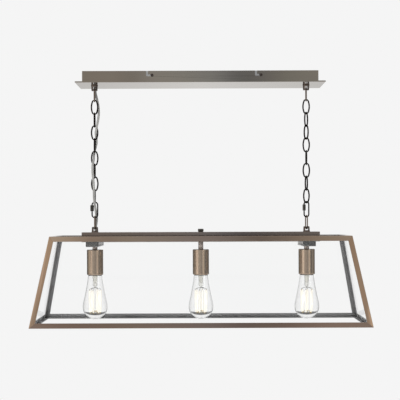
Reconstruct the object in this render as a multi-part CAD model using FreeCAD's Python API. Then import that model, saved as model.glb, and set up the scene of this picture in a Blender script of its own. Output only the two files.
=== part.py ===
import FreeCAD, Part
import os
import math

os.makedirs("parts", exist_ok=True)
V = FreeCAD.Vector

# ---------------------------------------------------------------------------
# Linear island pendant.  Millimetres.  The origin is on the ceiling, at the
# middle of the canopy.  +X runs along the light, -Y is its front, +Z is up.
# ---------------------------------------------------------------------------

# spacing of the two suspensions and of the three lamps
HANG_X = 275.0
LAMP_XS = (-275.0, 0.0, 275.0)
LAMP_NAMES = ("left", "centre", "right")

# canopy
BOX_L, BOX_W, BOX_H, BOX_T = 604.7, 88.0, 29.0, 1.5
PLATE_L, PLATE_W, PLATE_T = 637.0, 130.0, 3.0
SLOT_LEG_XS = (-136.0, 142.6)
SLOT_W = 5.2
SLOT_Z = -11.2
SLOT_RUN = 12.8
BRACKET_L, BRACKET_T, BRACKET_DEPTH = 340.0, 1.5, 26.0
BRACKET_HALF_W = 42.3
CEILING_HOLE_SPACING, CEILING_HOLE_R = 180.0, 2.75
FEED_HOLE_R = 12.0

# hooks: a slotted boss with a cross pin that carries the loop
HOOK_BASE_R, HOOK_TIP_R, HOOK_H = 9.0, 7.5, 14.0
HOOK_SLOT = 7.6
HOOK_SLOT_CLEAR = 7.5
PIN_R, PIN_HALF = 2.0, 7.1
PIN_DROP = 11.0
SHANK_R, SHANK_L = 5.0, 11.5
NUT_AF, NUT_H = 17.0, 6.0

# chain
WIRE = 3.2
LINK_L, LINK_W = 39.6, 19.4
LINK_NOSE = 5.8  # radius of the centre line at each end of the oval link
LINK_COUNT = 8
LINK_GAP = 0.05
PIN_GAP = 0.2
JOINT_GAP = 0.3
UPPER_LOOP_L, LOOP_W = 37.4, 19.2
QL_WIRE, QL_L, QL_W = 3.5, 43.4, 18.0
QL_NUT_AF, QL_NUT_L = 8.0, 15.6
QL_GAP = 5.5

# turns of the links about the vertical: 0 shows the link's face to the front
LEFT_TURNS = (0, 90, 0, 90, 0, 90, 0, 90)
LEFT_LOOP_TURN, LEFT_QL_TURN, LEFT_LOW_TURN = 90, 0, 90
RIGHT_TURNS = (-8, 57, -58, 7, 90, 0, 65, -37)
RIGHT_LOOP_TURN, RIGHT_QL_TURN, RIGHT_LOW_TURN = 79, 28, 101

# supply cable
CABLE_R = 3.0
CABLE_Y = 14.6
GROMMET_FLANGE_R, GROMMET_BODY_R, GROMMET_BORE_R = 5.0, 4.2, 3.2

# lantern
CHANNEL_TOP, CHANNEL_H, CHANNEL_L, CHANNEL_W, CHANNEL_T = -412.8, 25.5, 614.5, 44.0, 1.5
BASE_T = 2.0
LIP = 6.0
RAIL_W, RAIL_T = 13.0, 2.0
TOP_Z, TOP_HX, TOP_HY = -422.4, 382.0, 83.0
BOT_Z, BOT_HX, BOT_HY = -649.1, 427.0, 127.0
GLASS_T = 3.0
STRAP_W, STRAP_T, STRAP_Z, STRAP_HY = 32.5, 2.5, -449.3, 68.5
CLIP_YS = (-72.0, 4.0, 78.0)

# lampholders and bulbs
CUP_TOP, CUP_H, CUP_R, CUP_T = -458.3, 65.7, 21.1, 1.5
STEM_R, STEM_BORE_R, STEM_THREAD_R = 6.5, 3.5, 5.0
BULB_TIP = -638.6
BULB_R = 32.0
CAP_R = 13.1

nodes = {}


def add(name, shapes):
    """Keep one node: one shape, or a group of separate solids."""
    if not isinstance(shapes, (list, tuple)):
        shapes = [shapes]
    solids = []
    for s in shapes:
        solids.extend(s.Solids)
    nodes[name] = solids


def box(x0, y0, z0, x1, y1, z1):
    return Part.makeBox(
        abs(x1 - x0), abs(y1 - y0), abs(z1 - z0), V(min(x0, x1), min(y0, y1), min(z0, z1))
    )


def cyl(r, p0, p1):
    p0, p1 = V(*p0), V(*p1)
    return Part.makeCylinder(r, (p1 - p0).Length, p0, p1 - p0)


def prism(points, direction):
    w = Part.makePolygon([V(*p) for p in points] + [V(*points[0])])
    return Part.Face(w).extrude(V(*direction))


def hexagon(af, x, y, z0, z1, bore=0.0, turn=0.0):
    r = af / 2 / math.cos(math.pi / 6)
    pts = [
        (
            x + r * math.cos(math.radians(60 * k + turn)),
            y + r * math.sin(math.radians(60 * k + turn)),
            z0,
        )
        for k in range(6)
    ]
    s = prism(pts, (0, 0, z1 - z0))
    # the corners are turned off at both ends, as on a real nut
    lo, hi = min(z0, z1), max(z0, z1)
    c = (r - af / 2) * 0.9
    prof = [
        (0, 0, lo),
        (r - c, 0, lo),
        (r + 0.01, 0, lo + c * 0.6),
        (r + 0.01, 0, hi - c * 0.6),
        (r - c, 0, hi),
        (0, 0, hi),
    ]
    turned = Part.Face(Part.makePolygon([V(*p) for p in prof] + [V(*prof[0])])).revolve(
        V(0, 0, 0), V(0, 0, 1), 360
    )
    turned.translate(V(x, y, 0))
    s = s.common(turned)
    if bore:
        s = s.cut(cyl(bore, (x, y, lo - 1), (x, y, hi + 1)))
    return s


def revolved(profile, x=0.0, y=0.0):
    """Turn a closed (radius, z) profile about a vertical axis at x, y."""
    w = Part.makePolygon([V(r, 0, z) for r, z in profile] + [V(profile[0][0], 0, profile[0][1])])
    s = Part.Face(w).revolve(V(0, 0, 0), V(0, 0, 1), 360)
    s.translate(V(x, y, 0))
    return s


def ring(length, width, wire, gap=None):
    """A welded link of round wire in the XZ plane, centred on the origin."""
    r = wire / 2
    a = width / 2 - r
    h = length / 2 - r - a
    parts = []
    for sx in (1, -1):
        if gap and sx == -1:
            g0, g1 = gap
            parts.append(cyl(r, (-a, 0, -h), (-a, 0, g0)))
            parts.append(cyl(r, (-a, 0, g1), (-a, 0, h)))
        else:
            parts.append(cyl(r, (sx * a, 0, -h), (sx * a, 0, h)))
    for sz in (1, -1):
        c = Part.Face(Part.Wire(Part.makeCircle(r, V(a, 0, sz * h), V(0, 0, 1))))
        parts.append(c.revolve(V(0, 0, sz * h), V(0, -sz, 0), 180))
    s = parts[0].fuse(parts[1:])
    return s.removeSplitter()


def oval_ring(length, width, wire, nose):
    """A welded oval link in the XZ plane: two end arcs and two flat side arcs."""
    r = wire / 2
    a, b = width / 2 - r, length / 2 - r
    # the side arcs are centred off to the far side, where they meet the ends smoothly
    c = ((b - nose) ** 2 - (a - nose) ** 2) / (2 * (a - nose))
    half = math.degrees(math.atan2(b - nose, c))
    parts = []
    for s in (1, -1):
        profile = Part.Face(Part.Wire(Part.makeCircle(r, V(s * a, 0, 0), V(0, 0, 1))))
        for way in (1, -1):
            parts.append(profile.revolve(V(-s * c, 0, 0), V(0, -s * way, 0), half))
    for s in (1, -1):
        profile = Part.Face(Part.Wire(Part.makeCircle(r, V(0, 0, s * b), V(1, 0, 0))))
        for way in (1, -1):
            parts.append(profile.revolve(V(0, 0, s * (b - nose)), V(0, way, 0), 90 - half))
    s = parts[0].fuse(parts[1:])
    return s.removeSplitter()


def placed(shape, x, z, turn):
    s = shape.copy()
    s.rotate(V(0, 0, 0), V(0, 0, 1), turn)
    s.translate(V(x, 0, z))
    return s


# ---------------------------------------------------------------------------
# Canopy: a ceiling bracket, a shallow box that drops over it and turns onto
# four side screws by its L-slots, and the plate that closes the box below.
# ---------------------------------------------------------------------------
hb = BRACKET_HALF_W
web = box(-BRACKET_L / 2, -hb, -BRACKET_T, BRACKET_L / 2, hb, 0)
flange_f = box(-BRACKET_L / 2, -hb, -BRACKET_DEPTH, BRACKET_L / 2, -hb + BRACKET_T, 0)
flange_b = box(-BRACKET_L / 2, hb - BRACKET_T, -BRACKET_DEPTH, BRACKET_L / 2, hb, 0)
bracket = web.fuse([flange_f, flange_b]).removeSplitter()
for sx in (-1, 1):
    x = sx * CEILING_HOLE_SPACING / 2
    bracket = bracket.cut(cyl(CEILING_HOLE_R, (x, 0, -5), (x, 0, 5)))
bracket = bracket.cut(cyl(FEED_HOLE_R, (0, 0, -5), (0, 0, 5)))
screw_xs = [x + SLOT_RUN for x in SLOT_LEG_XS]
for x in screw_xs:
    for sy in (-1, 1):
        bracket = bracket.cut(cyl(2.02, (x, sy * (hb - 6), SLOT_Z), (x, sy * (hb + 6), SLOT_Z)))
add("ceiling_bracket", bracket)

half_l, half_w = BOX_L / 2, BOX_W / 2
outer = box(-half_l, -half_w, -BOX_H, half_l, half_w, 0)
inner = box(
    -half_l + BOX_T, -half_w + BOX_T, -BOX_H - 1, half_l - BOX_T, half_w - BOX_T, 1
)
canopy = outer.cut(inner)
canopy_edges = [
    e
    for e in canopy.Edges
    if abs(abs(e.CenterOfMass.x) - half_l) < 0.01
    and abs(abs(e.CenterOfMass.y) - half_w) < 0.01
]
canopy = canopy.makeFillet(1.2, canopy_edges)
for x in SLOT_LEG_XS:
    for sy in (-1, 1):
        y0, y1 = sorted((sy * (half_w - 4), sy * (half_w + 3)))
        leg = box(x - SLOT_W / 2, y0, SLOT_Z, x + SLOT_W / 2, y1, 2)
        foot = box(x, y0, SLOT_Z - SLOT_W / 2, x + SLOT_RUN, y1, SLOT_Z + SLOT_W / 2)
        heel = cyl(SLOT_W / 2, (x, y0, SLOT_Z), (x, y1, SLOT_Z))
        toe = cyl(SLOT_W / 2, (x + SLOT_RUN, y0, SLOT_Z), (x + SLOT_RUN, y1, SLOT_Z))
        canopy = canopy.cut(leg.fuse([foot, heel, toe]))
add("canopy_box", canopy)

z1, z0 = -BOX_H, -BOX_H - PLATE_T
plate = box(-PLATE_L / 2, -PLATE_W / 2, z0, PLATE_L / 2, PLATE_W / 2, z1)
plate = plate.makeFillet(2.0, [e for e in plate.Edges if abs(e.BoundBox.ZLength - PLATE_T) < 0.01])
plate = plate.makeChamfer(
    0.5, [e for e in plate.Edges if abs(e.CenterOfMass.z - z0) < 0.01 and e.Length > 50]
)
for sx in (-1, 1):
    plate = plate.cut(cyl(SHANK_R + 0.2, (sx * HANG_X, 0, z0 - 5), (sx * HANG_X, 0, z1 + 5)))
plate = plate.cut(
    cyl(GROMMET_BODY_R, (-HANG_X, CABLE_Y, z0 - 5), (-HANG_X, CABLE_Y, z1 + 5))
)
add("canopy_plate", plate)
PLATE_UNDER = z0

side_screws = []
for x in screw_xs:
    for sy in (-1, 1):
        shank = cyl(2.0, (x, sy * 38.5, SLOT_Z), (x, sy * (half_w + 1.0), SLOT_Z))
        head = cyl(3.9, (x, sy * half_w, SLOT_Z), (x, sy * (half_w + 2.4), SLOT_Z))
        rim = [
            e
            for e in head.Edges
            if abs(e.CenterOfMass.y - sy * (half_w + 2.4)) < 0.01 and e.Length > 20
        ]
        head = head.makeFillet(1.1, rim)
        s = shank.fuse(head)
        for a in (0, 90):
            cut = box(-2.3, -0.45, -1.0, 2.3, 0.45, 0.0)
            cut.rotate(V(0, 0, 0), V(0, 0, 1), a)
            cut.rotate(V(0, 0, 0), V(1, 0, 0), 90 if sy < 0 else -90)
            cut.translate(V(x, sy * (half_w + 2.4), SLOT_Z))
            s = s.cut(cut)
        side_screws.append(s)
add("bracket_side_screws", side_screws)

# terminal block under the bracket, with three pairs of clamp screws
tb = box(34, -11, -BRACKET_T - 14, 70, 11, -BRACKET_T)
tb = tb.makeFillet(1.0, [e for e in tb.Edges if abs(e.CenterOfMass.z + BRACKET_T + 14) < 0.01])
for k in range(3):
    x = 40.5 + 11.5 * k
    tb = tb.cut(cyl(2.4, (x, -12, -BRACKET_T - 8), (x, 12, -BRACKET_T - 8)))
    for sy in (-1, 1):
        tb = tb.cut(cyl(1.7, (x, sy * 6, -BRACKET_T - 16), (x, sy * 6, -BRACKET_T - 9)))
add("terminal_block", tb)


# ---------------------------------------------------------------------------
# Hooks.  Each is a slotted boss with a threaded shank, a cross pin and a nut.
# ---------------------------------------------------------------------------
def hook(x, face_z, way):
    """way -1 hangs below a plate, way +1 stands on the channel."""
    b, t, h = HOOK_BASE_R, HOOK_TIP_R, HOOK_H
    prof = [
        (0, face_z),
        (b, face_z),
        (b, face_z + way * 1.6),
        (b - 0.5, face_z + way * 2.1),
        (t + 0.45, face_z + way * (h - 1.4)),
        (t - 0.5, face_z + way * (h - 0.4)),
        (t - 1.4, face_z + way * h),
        (0, face_z + way * h),
    ]
    s = revolved(prof, x)
    z_pin = face_z + way * PIN_DROP
    z_floor = z_pin - way * HOOK_SLOT_CLEAR
    s = s.cut(
        box(x - HOOK_SLOT / 2, -20, z_floor, x + HOOK_SLOT / 2, 20, face_z + way * (h + 2))
    )
    s = s.cut(cyl(PIN_R, (x - 12, 0, z_pin), (x + 12, 0, z_pin)))
    shank = cyl(SHANK_R, (x, 0, face_z), (x, 0, face_z - way * SHANK_L))
    rim = [
        e
        for e in shank.Edges
        if abs(e.CenterOfMass.z - (face_z - way * SHANK_L)) < 0.01 and e.Length > 20
    ]
    shank = shank.makeChamfer(0.8, rim)
    return s.fuse(shank).removeSplitter()


def hook_pin(x, z):
    p = cyl(PIN_R, (x - PIN_HALF, 0, z), (x + PIN_HALF, 0, z))
    return p.makeChamfer(0.3, [e for e in p.Edges if e.Length > 5 and abs(abs(e.CenterOfMass.x - x) - PIN_HALF) < 0.01])


UP_PIN_Z = PLATE_UNDER - PIN_DROP
LOW_PIN_Z = CHANNEL_TOP + PIN_DROP
add("upper_hooks", [hook(sx * HANG_X, PLATE_UNDER, -1) for sx in (-1, 1)])
add("upper_hook_pins", [hook_pin(sx * HANG_X, UP_PIN_Z) for sx in (-1, 1)])
add(
    "upper_hook_nuts",
    [hexagon(NUT_AF, sx * HANG_X, 0, -BOX_H, -BOX_H + NUT_H, SHANK_R) for sx in (-1, 1)],
)
add("lower_hooks", [hook(sx * HANG_X, CHANNEL_TOP, 1) for sx in (-1, 1)])
add("lower_hook_pins", [hook_pin(sx * HANG_X, LOW_PIN_Z) for sx in (-1, 1)])


# grommets where the supply cable goes through the plate and the channel
def grommet(z_low, z_high):
    f = 1.2
    s = cyl(GROMMET_BODY_R, (-HANG_X, CABLE_Y, z_low), (-HANG_X, CABLE_Y, z_high))
    lo = cyl(GROMMET_FLANGE_R, (-HANG_X, CABLE_Y, z_low - f), (-HANG_X, CABLE_Y, z_low))
    hi = cyl(GROMMET_FLANGE_R, (-HANG_X, CABLE_Y, z_high), (-HANG_X, CABLE_Y, z_high + f))
    s = s.fuse([lo, hi]).removeSplitter()
    return s.cut(
        cyl(GROMMET_BORE_R, (-HANG_X, CABLE_Y, z_low - 5), (-HANG_X, CABLE_Y, z_high + 5))
    )


add("canopy_grommet", grommet(PLATE_UNDER, -BOX_H))
add("channel_grommet", grommet(CHANNEL_TOP - CHANNEL_T, CHANNEL_TOP))

# ---------------------------------------------------------------------------
# Chains.  From the pin down: bronze loop, eight links, a quick link with its
# hexagonal sleeve nut, and a bronze loop on the lower pin.
# ---------------------------------------------------------------------------
loop_top = UP_PIN_Z + PIN_R + PIN_GAP + WIRE
loop_bottom = loop_top - UPPER_LOOP_L
# a link hangs on the wire it is threaded through, so its inner top is just above it
first_top = (loop_bottom + WIRE) + JOINT_GAP + WIRE
pitch = LINK_L - 2 * WIRE - LINK_GAP
last_bottom = first_top - pitch * (LINK_COUNT - 1) - LINK_L
ql_top = last_bottom + WIRE + LINK_GAP + QL_WIRE
ql_bottom = ql_top - QL_L
low_top = ql_bottom + QL_WIRE + JOINT_GAP + WIRE
low_bottom = LOW_PIN_Z - PIN_R - PIN_GAP - WIRE
UPPER_PIVOT_Z = loop_bottom + WIRE / 2
LOWER_PIVOT_Z = low_top - WIRE / 2

loop_up = ring(UPPER_LOOP_L, LOOP_W, WIRE)
loop_low = ring(low_top - low_bottom, LOOP_W, WIRE)
link = oval_ring(LINK_L, LINK_W, WIRE, LINK_NOSE)
ql_mid = (ql_top + ql_bottom) / 2
nut_top = ql_mid + 12.3
gap_hi = nut_top - 3.5
ql = ring(QL_L, QL_W, QL_WIRE, gap=(gap_hi - QL_GAP - ql_mid, gap_hi - ql_mid))
ql_a = QL_W / 2 - QL_WIRE / 2
ql_nut = hexagon(QL_NUT_AF, -ql_a, 0, nut_top - QL_NUT_L - ql_mid, nut_top - ql_mid, QL_WIRE / 2 + 0.06)

for side, sx, turns, up_turn, q_turn, low_turn in (
    ("left", -1, LEFT_TURNS, LEFT_LOOP_TURN, LEFT_QL_TURN, LEFT_LOW_TURN),
    ("right", 1, RIGHT_TURNS, RIGHT_LOOP_TURN, RIGHT_QL_TURN, RIGHT_LOW_TURN),
):
    x = sx * HANG_X
    add(side + "_upper_loop", placed(loop_up, x, (loop_top + loop_bottom) / 2, up_turn))
    links = []
    for k, turn in enumerate(turns):
        mid = first_top - pitch * k - LINK_L / 2
        links.append(placed(link, x, mid, turn))
    add(side + "_chain_links", links)
    add(side + "_quick_link", placed(ql, x, ql_mid, q_turn))
    add(side + "_quick_link_nut", placed(ql_nut, x, ql_mid, q_turn))
    add(side + "_lower_loop", placed(loop_low, x, (low_top + low_bottom) / 2, low_turn))

# ---------------------------------------------------------------------------
# Supply cable: down through the plate behind the left hook, in and out of the
# left chain, and down through the channel behind the lower hook.
# ---------------------------------------------------------------------------
CABLE_ROUTE = [
    (0.0, 14.6, -25.5),
    (0.0, 14.6, -39.5),
    (2.2, 14.2, -54.0),
    (6.6, 12.2, -71.0),
    (10.0, 8.0, -89.5),
    (10.8, 2.0, -108.0),
    (9.1, -3.0, -123.5),
    (7.0, -5.8, -135.5),
    (4.8, -5.0, -146.0),
    (2.7, -1.0, -155.0),
    (3.9, 5.4, -165.5),
    (4.4, 11.6, -177.5),
    (1.2, 14.4, -190.5),
    (-1.8, 12.4, -203.0),
    (-2.8, 5.6, -215.0),
    (-2.5, -1.7, -227.0),
    (-5.0, -7.6, -239.0),
    (-5.0, -11.2, -253.0),
    (-3.2, -12.6, -270.0),
    (-1.6, -12.4, -289.0),
    (-1.0, -13.6, -308.0),
    (-0.6, -14.3, -326.0),
    (0.4, -11.1, -340.0),
    (1.9, -3.6, -351.5),
    (2.5, 3.8, -363.0),
    (4.0, 10.5, -374.5),
    (3.2, 14.0, -386.5),
    (0.8, 14.9, -397.5),
    (0.0, 14.6, -408.0),
    (0.0, 14.6, -418.5),
]


def cable(route, r, label):
    pts = [V(*p) for p in route]
    n = len(pts)
    runs = [(pts[i + 1] - pts[i]).Length for i in range(n - 1)]
    edges, at, length, radii = [], pts[0], 0.0, []
    for i in range(1, n - 1):
        d0 = (pts[i] - pts[i - 1]).normalize()
        d1 = (pts[i + 1] - pts[i]).normalize()
        turn = d0.getAngle(d1)
        cut_back = 0.45 * min(runs[i - 1], runs[i])
        radius = cut_back / math.tan(turn / 2)
        radii.append((radius, math.degrees(turn)))
        a, b = pts[i] - d0 * cut_back, pts[i] + d1 * cut_back
        bis = (d1 - d0).normalize()
        centre = pts[i] + bis * (radius / math.cos(turn / 2))
        mid = centre - bis * radius
        edges.append(Part.LineSegment(at, a).toShape())
        arc = Part.Arc(a, mid, b).toShape()
        edges.append(arc)
        length += (a - at).Length + arc.Length
        at = b
    edges.append(Part.LineSegment(at, pts[-1]).toShape())
    length += (pts[-1] - at).Length
    path = Part.Wire(edges)
    prof = Part.Wire(Part.makeCircle(r, pts[0], pts[1] - pts[0]))
    tube = path.makePipeShell([prof], True, True)
    want = math.pi * r * r * length
    print(
        label,
        "length %.1f mm, volume/section*length %.5f, valid %s" % (length, abs(tube.Volume) / want, tube.isValid()),
    )
    print("  radii", " ".join("%.0f" % q for q, _ in radii))
    print("  turns", " ".join("%.0f" % q for _, q in radii))
    print("  runs", " ".join("%.0f" % q for q in runs))
    return tube


tube = cable([(p[0] - HANG_X, p[1], p[2]) for p in CABLE_ROUTE], CABLE_R, "supply cable")
add("supply_cable", tube if tube.Solids else Part.Solid(tube))

# ---------------------------------------------------------------------------
# Lantern: centre channel with its base plate.
# ---------------------------------------------------------------------------
cl, cw = CHANNEL_L / 2, CHANNEL_W / 2
cz0 = CHANNEL_TOP - CHANNEL_H
channel = box(-cl, -cw, cz0, cl, cw, CHANNEL_TOP)
long_edges = [
    e
    for e in channel.Edges
    if e.Length > 500
]
channel = channel.makeFillet(1.0, long_edges)
t = CHANNEL_T
channel = channel.cut(box(-cl + t, -cw + t, cz0 + t, cl - t, cw - t, CHANNEL_TOP - t))
channel = channel.cut(box(-cl + t, -cw + t + LIP, cz0 - 1, cl - t, cw - t - LIP, cz0 + t + 1))
for sx in (-1, 1):
    channel = channel.cut(
        cyl(SHANK_R + 0.2, (sx * HANG_X, 0, CHANNEL_TOP - 5), (sx * HANG_X, 0, CHANNEL_TOP + 5))
    )
channel = channel.cut(
    cyl(GROMMET_BODY_R, (-HANG_X, CABLE_Y, CHANNEL_TOP - 5), (-HANG_X, CABLE_Y, CHANNEL_TOP + 5))
)
channel = channel.cut(cyl(STEM_THREAD_R + 0.2, (0, 0, CHANNEL_TOP - 5), (0, 0, CHANNEL_TOP + 5)))
add("centre_channel", channel)

base_z0 = cz0 + CHANNEL_T
base = box(-cl + t + 0.3, -cw + t + 0.2, base_z0, cl - t - 0.3, cw - t - 0.2, base_z0 + BASE_T)
for x in LAMP_XS:
    base = base.cut(cyl(STEM_THREAD_R + 0.1, (x, 0, base_z0 - 5), (x, 0, base_z0 + 5)))
add("channel_base_plate", base)
base_top = base_z0 + BASE_T

# nuts inside the channel: two on the hooks, three on the lamp stems, and the
# two long ones that hold the cross straps up to the channel's base
channel_nuts = []
for sx in (-1, 1):
    x = sx * HANG_X
    channel_nuts.append(
        hexagon(NUT_AF, x, 0, CHANNEL_TOP - CHANNEL_T - 5.0, CHANNEL_TOP - CHANNEL_T, SHANK_R)
    )
    channel_nuts.append(hexagon(NUT_AF, x, 0, STRAP_Z + STRAP_T, base_z0, STEM_THREAD_R))
for x in LAMP_XS:
    channel_nuts.append(hexagon(NUT_AF, x, 0, base_top, base_top + 5.0, STEM_THREAD_R))
add("channel_nuts", channel_nuts)

# knurled thumb nut on the centre stem, above the channel
KN_R, KN_H = 7.4, 8.0
knob = revolved(
    [
        (0, CHANNEL_TOP),
        (6.2, CHANNEL_TOP),
        (6.2, CHANNEL_TOP + 0.8),
        (KN_R, CHANNEL_TOP + 1.3),
        (KN_R, CHANNEL_TOP + KN_H - 0.8),
        (KN_R - 0.8, CHANNEL_TOP + KN_H),
        (0, CHANNEL_TOP + KN_H),
    ]
)
knob = knob.cut(cyl(STEM_THREAD_R + 0.05, (0, 0, CHANNEL_TOP - 1), (0, 0, CHANNEL_TOP + 6.2)))
grooves = []
for k in range(24):
    a = math.radians(15 * k)
    g = prism(
        [
            (KN_R * math.cos(a) - 0.62 * math.cos(a), KN_R * math.sin(a) - 0.62 * math.sin(a), CHANNEL_TOP + 0.5),
            ((KN_R + 0.5) * math.cos(a + 0.1), (KN_R + 0.5) * math.sin(a + 0.1), CHANNEL_TOP + 0.5),
            ((KN_R + 0.5) * math.cos(a - 0.1), (KN_R + 0.5) * math.sin(a - 0.1), CHANNEL_TOP + 0.5),
        ],
        (0, 0, KN_H),
    )
    grooves.append(g)
knob = knob.cut(grooves[0].fuse(grooves[1:]))
add("thumb_nut", knob)

# ---------------------------------------------------------------------------
# Lantern frame: L-section bars along the twelve edges of a frustum, mitred so
# that every pair meets on a plane through the corner.
# ---------------------------------------------------------------------------
corner = {}
for sx in (-1, 1):
    for sy in (-1, 1):
        corner[(sx, sy, 1)] = V(sx * TOP_HX, sy * TOP_HY, TOP_Z)
        corner[(sx, sy, -1)] = V(sx * BOT_HX, sy * BOT_HY, BOT_Z)
centre = V(0, 0, (TOP_Z + BOT_Z) / 2)


def plane(a, b, c):
    """Outward unit normal and offset of the plane through three points."""
    n = (b - a).cross(c - a).normalize()
    if n.dot(a - centre) < 0:
        n = n * -1
    return n, n.dot(a)


planes = {
    "front": plane(corner[(-1, -1, 1)], corner[(1, -1, 1)], corner[(1, -1, -1)]),
    "back": plane(corner[(-1, 1, 1)], corner[(1, 1, 1)], corner[(1, 1, -1)]),
    "left": plane(corner[(-1, -1, 1)], corner[(-1, 1, 1)], corner[(-1, 1, -1)]),
    "right": plane(corner[(1, -1, 1)], corner[(1, 1, 1)], corner[(1, 1, -1)]),
    "top": plane(corner[(-1, -1, 1)], corner[(1, -1, 1)], corner[(1, 1, 1)]),
    "bottom": plane(corner[(-1, -1, -1)], corner[(1, -1, -1)], corner[(1, 1, -1)]),
}


def meet(pa, pb, pc, off=0.0):
    """The point where three planes meet, each moved inward by off."""
    (na, da), (nb, db), (nc, dc) = pa, pb, pc
    det = na.dot(nb.cross(nc))
    return (nb.cross(nc) * (da - off) + nc.cross(na) * (db - off) + na.cross(nb) * (dc - off)) * (
        1.0 / det
    )


def half_space(point, normal, size=200.0):
    """A block with one face on the plane, reaching out along the normal."""
    n = V(normal).normalize()
    b = Part.makeBox(size, size, size, V(-size / 2, -size / 2, 0))
    rot = FreeCAD.Rotation(V(0, 0, 1), n)
    b.Placement = FreeCAD.Placement(point, rot)
    return b


def bar(p_name, q_name, ends):
    """An L-section bar on the edge of planes P and Q, mitred at both ends."""
    p, q = planes[p_name], planes[q_name]
    o0 = meet(p, q, planes[ends[0]])
    o1 = meet(p, q, planes[ends[1]])
    i0 = meet(p, q, planes[ends[0]], RAIL_T)
    e = (o1 - o0).normalize()
    middle = (o0 + o1) * 0.5
    up = e.cross(p[0])
    if up.dot(centre - middle) < 0:
        up = up * -1
    uq = e.cross(q[0])
    if uq.dot(centre - middle) < 0:
        uq = uq * -1
    np_, nq = p[0] * -1, q[0] * -1
    start = o0 - e * 40
    # inner corner of the section, in the plane square to the edge through start
    det = 1 - (np_.dot(nq)) ** 2
    k = RAIL_T * (1 - np_.dot(nq)) / det
    inner_corner = start + (np_ + nq) * k
    pts = [
        start,
        start + up * RAIL_W,
        start + up * RAIL_W + np_ * RAIL_T,
        inner_corner,
        start + uq * RAIL_W + nq * RAIL_T,
        start + uq * RAIL_W,
    ]
    s = Part.Face(Part.makePolygon(pts + [pts[0]])).extrude(e * ((o1 - o0).Length + 80))
    for end, o, other, way in ((ends[0], o0, planes[ends[0]], -1), (ends[1], o1, planes[ends[1]], 1)):
        inner_pt = meet(p, q, other, RAIL_T)
        spine = (inner_pt - o).normalize()
        for f in (p, q):
            # in face f the neighbour bar runs along the edge of f and the end plane
            d_other = f[0].cross(other[0]).normalize()
            here = e * -way  # pointing from this corner into the bar
            if d_other.dot(centre - o) < 0:
                d_other = d_other * -1
            bis = (here + d_other).normalize()
            n = spine.cross(bis)
            if n.dot(here) > 0:
                n = n * -1
            s = s.cut(half_space(o, n))
    return s


rails = {
    "top_rail_front": bar("front", "top", ("left", "right")),
    "top_rail_back": bar("back", "top", ("left", "right")),
    "top_rail_left": bar("left", "top", ("front", "back")),
    "top_rail_right": bar("right", "top", ("front", "back")),
    "bottom_rail_front": bar("front", "bottom", ("left", "right")),
    "bottom_rail_back": bar("back", "bottom", ("left", "right")),
    "bottom_rail_left": bar("left", "bottom", ("front", "back")),
    "bottom_rail_right": bar("right", "bottom", ("front", "back")),
    "post_front_left": bar("front", "left", ("top", "bottom")),
    "post_front_right": bar("front", "right", ("top", "bottom")),
    "post_back_left": bar("back", "left", ("top", "bottom")),
    "post_back_right": bar("back", "right", ("top", "bottom")),
}


# glass panes behind the flanges
def pane(face, sides, side_off, low_off):
    f = planes[face]
    n, d = f

    def moved(pl, off):
        return (pl[0], pl[1] - off)

    out_pl = moved(f, RAIL_T + 0.1)
    in_pl = moved(f, RAIL_T + 0.1 + GLASS_T)
    s0, s1 = moved(planes[sides[0]], side_off), moved(planes[sides[1]], side_off)
    tp, bt = moved(planes["top"], low_off), moved(planes["bottom"], low_off)
    rings = []
    for pl in (out_pl, in_pl):
        rings.append([meet(pl, s0, tp), meet(pl, s1, tp), meet(pl, s1, bt), meet(pl, s0, bt)])
    faces = [Part.Face(Part.makePolygon(r + [r[0]])) for r in rings]
    a, b = rings
    for k in range(4):
        m = (k + 1) % 4
        faces.append(Part.Face(Part.makePolygon([a[k], a[m], b[m], b[k], a[k]])))
    s = Part.Solid(Part.Shell(faces))
    if s.Volume < 0:
        s.reverse()
    return s


glass = {
    "glass_front": pane("front", ("left", "right"), RAIL_T + 0.4, RAIL_T + 0.2),
    "glass_back": pane("back", ("left", "right"), RAIL_T + 0.4, RAIL_T + 0.2),
    "glass_left": pane("left", ("front", "back"), RAIL_T + 0.1 + GLASS_T + 0.5, RAIL_T + 0.2),
    "glass_right": pane("right", ("front", "back"), RAIL_T + 0.1 + GLASS_T + 0.5, RAIL_T + 0.2),
}
for name, s in glass.items():
    add(name, s)

# small bent clips that hold the end panes on the bottom rails, with screws
lean = (BOT_HX - TOP_HX) / (TOP_Z - BOT_Z)
cosl = 1 / math.sqrt(1 + lean * lean)
h0 = (RAIL_T + 0.1 + GLASS_T + 0.15) / cosl
clips, clip_screws = [], []
for sx in (-1, 1):
    for y in CLIP_YS:
        zb = BOT_Z + RAIL_T

        def at(h, z):
            return (sx * (BOT_HX - h), y - 5.0, z)

        def slant(h, dz):
            return at(h + lean * (dz + RAIL_T), zb + dz)

        prof = [
            slant(h0, 0.0),
            slant(h0, 9.0),
            slant(h0 + 1.1, 9.0),
            slant(h0 + 1.1, 1.0),
            at(14.6, zb + 1.0),
            at(14.6, zb),
        ]
        c = prism(prof, (0, 10.0, 0))
        xs = sx * (BOT_HX - 10.2)
        c = c.cut(cyl(1.3, (xs, y, zb - 1), (xs, y, zb + 3)))
        clips.append(c)
        for k in ("bottom_rail_left" if sx < 0 else "bottom_rail_right",):
            rails[k] = rails[k].cut(cyl(1.3, (xs, y, BOT_Z - 1), (xs, y, zb + 1)))
        head = Part.makeSphere(3.4, V(xs, y, zb + 1.0 - 1.8), V(0, 0, 1), 0, 90, 360)
        head = head.common(cyl(4.0, (xs, y, zb + 1.0), (xs, y, zb + 5)))
        shank = cyl(1.25, (xs, y, BOT_Z + 0.3), (xs, y, zb + 1.0))
        sc = head.fuse(shank)
        sc = sc.cut(box(xs - 3, y - 0.3, zb + 2.0, xs + 3, y + 0.3, zb + 4))
        clip_screws.append(sc)
for name, s in rails.items():
    add(name, s)
add("glass_clips", clips)
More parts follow.
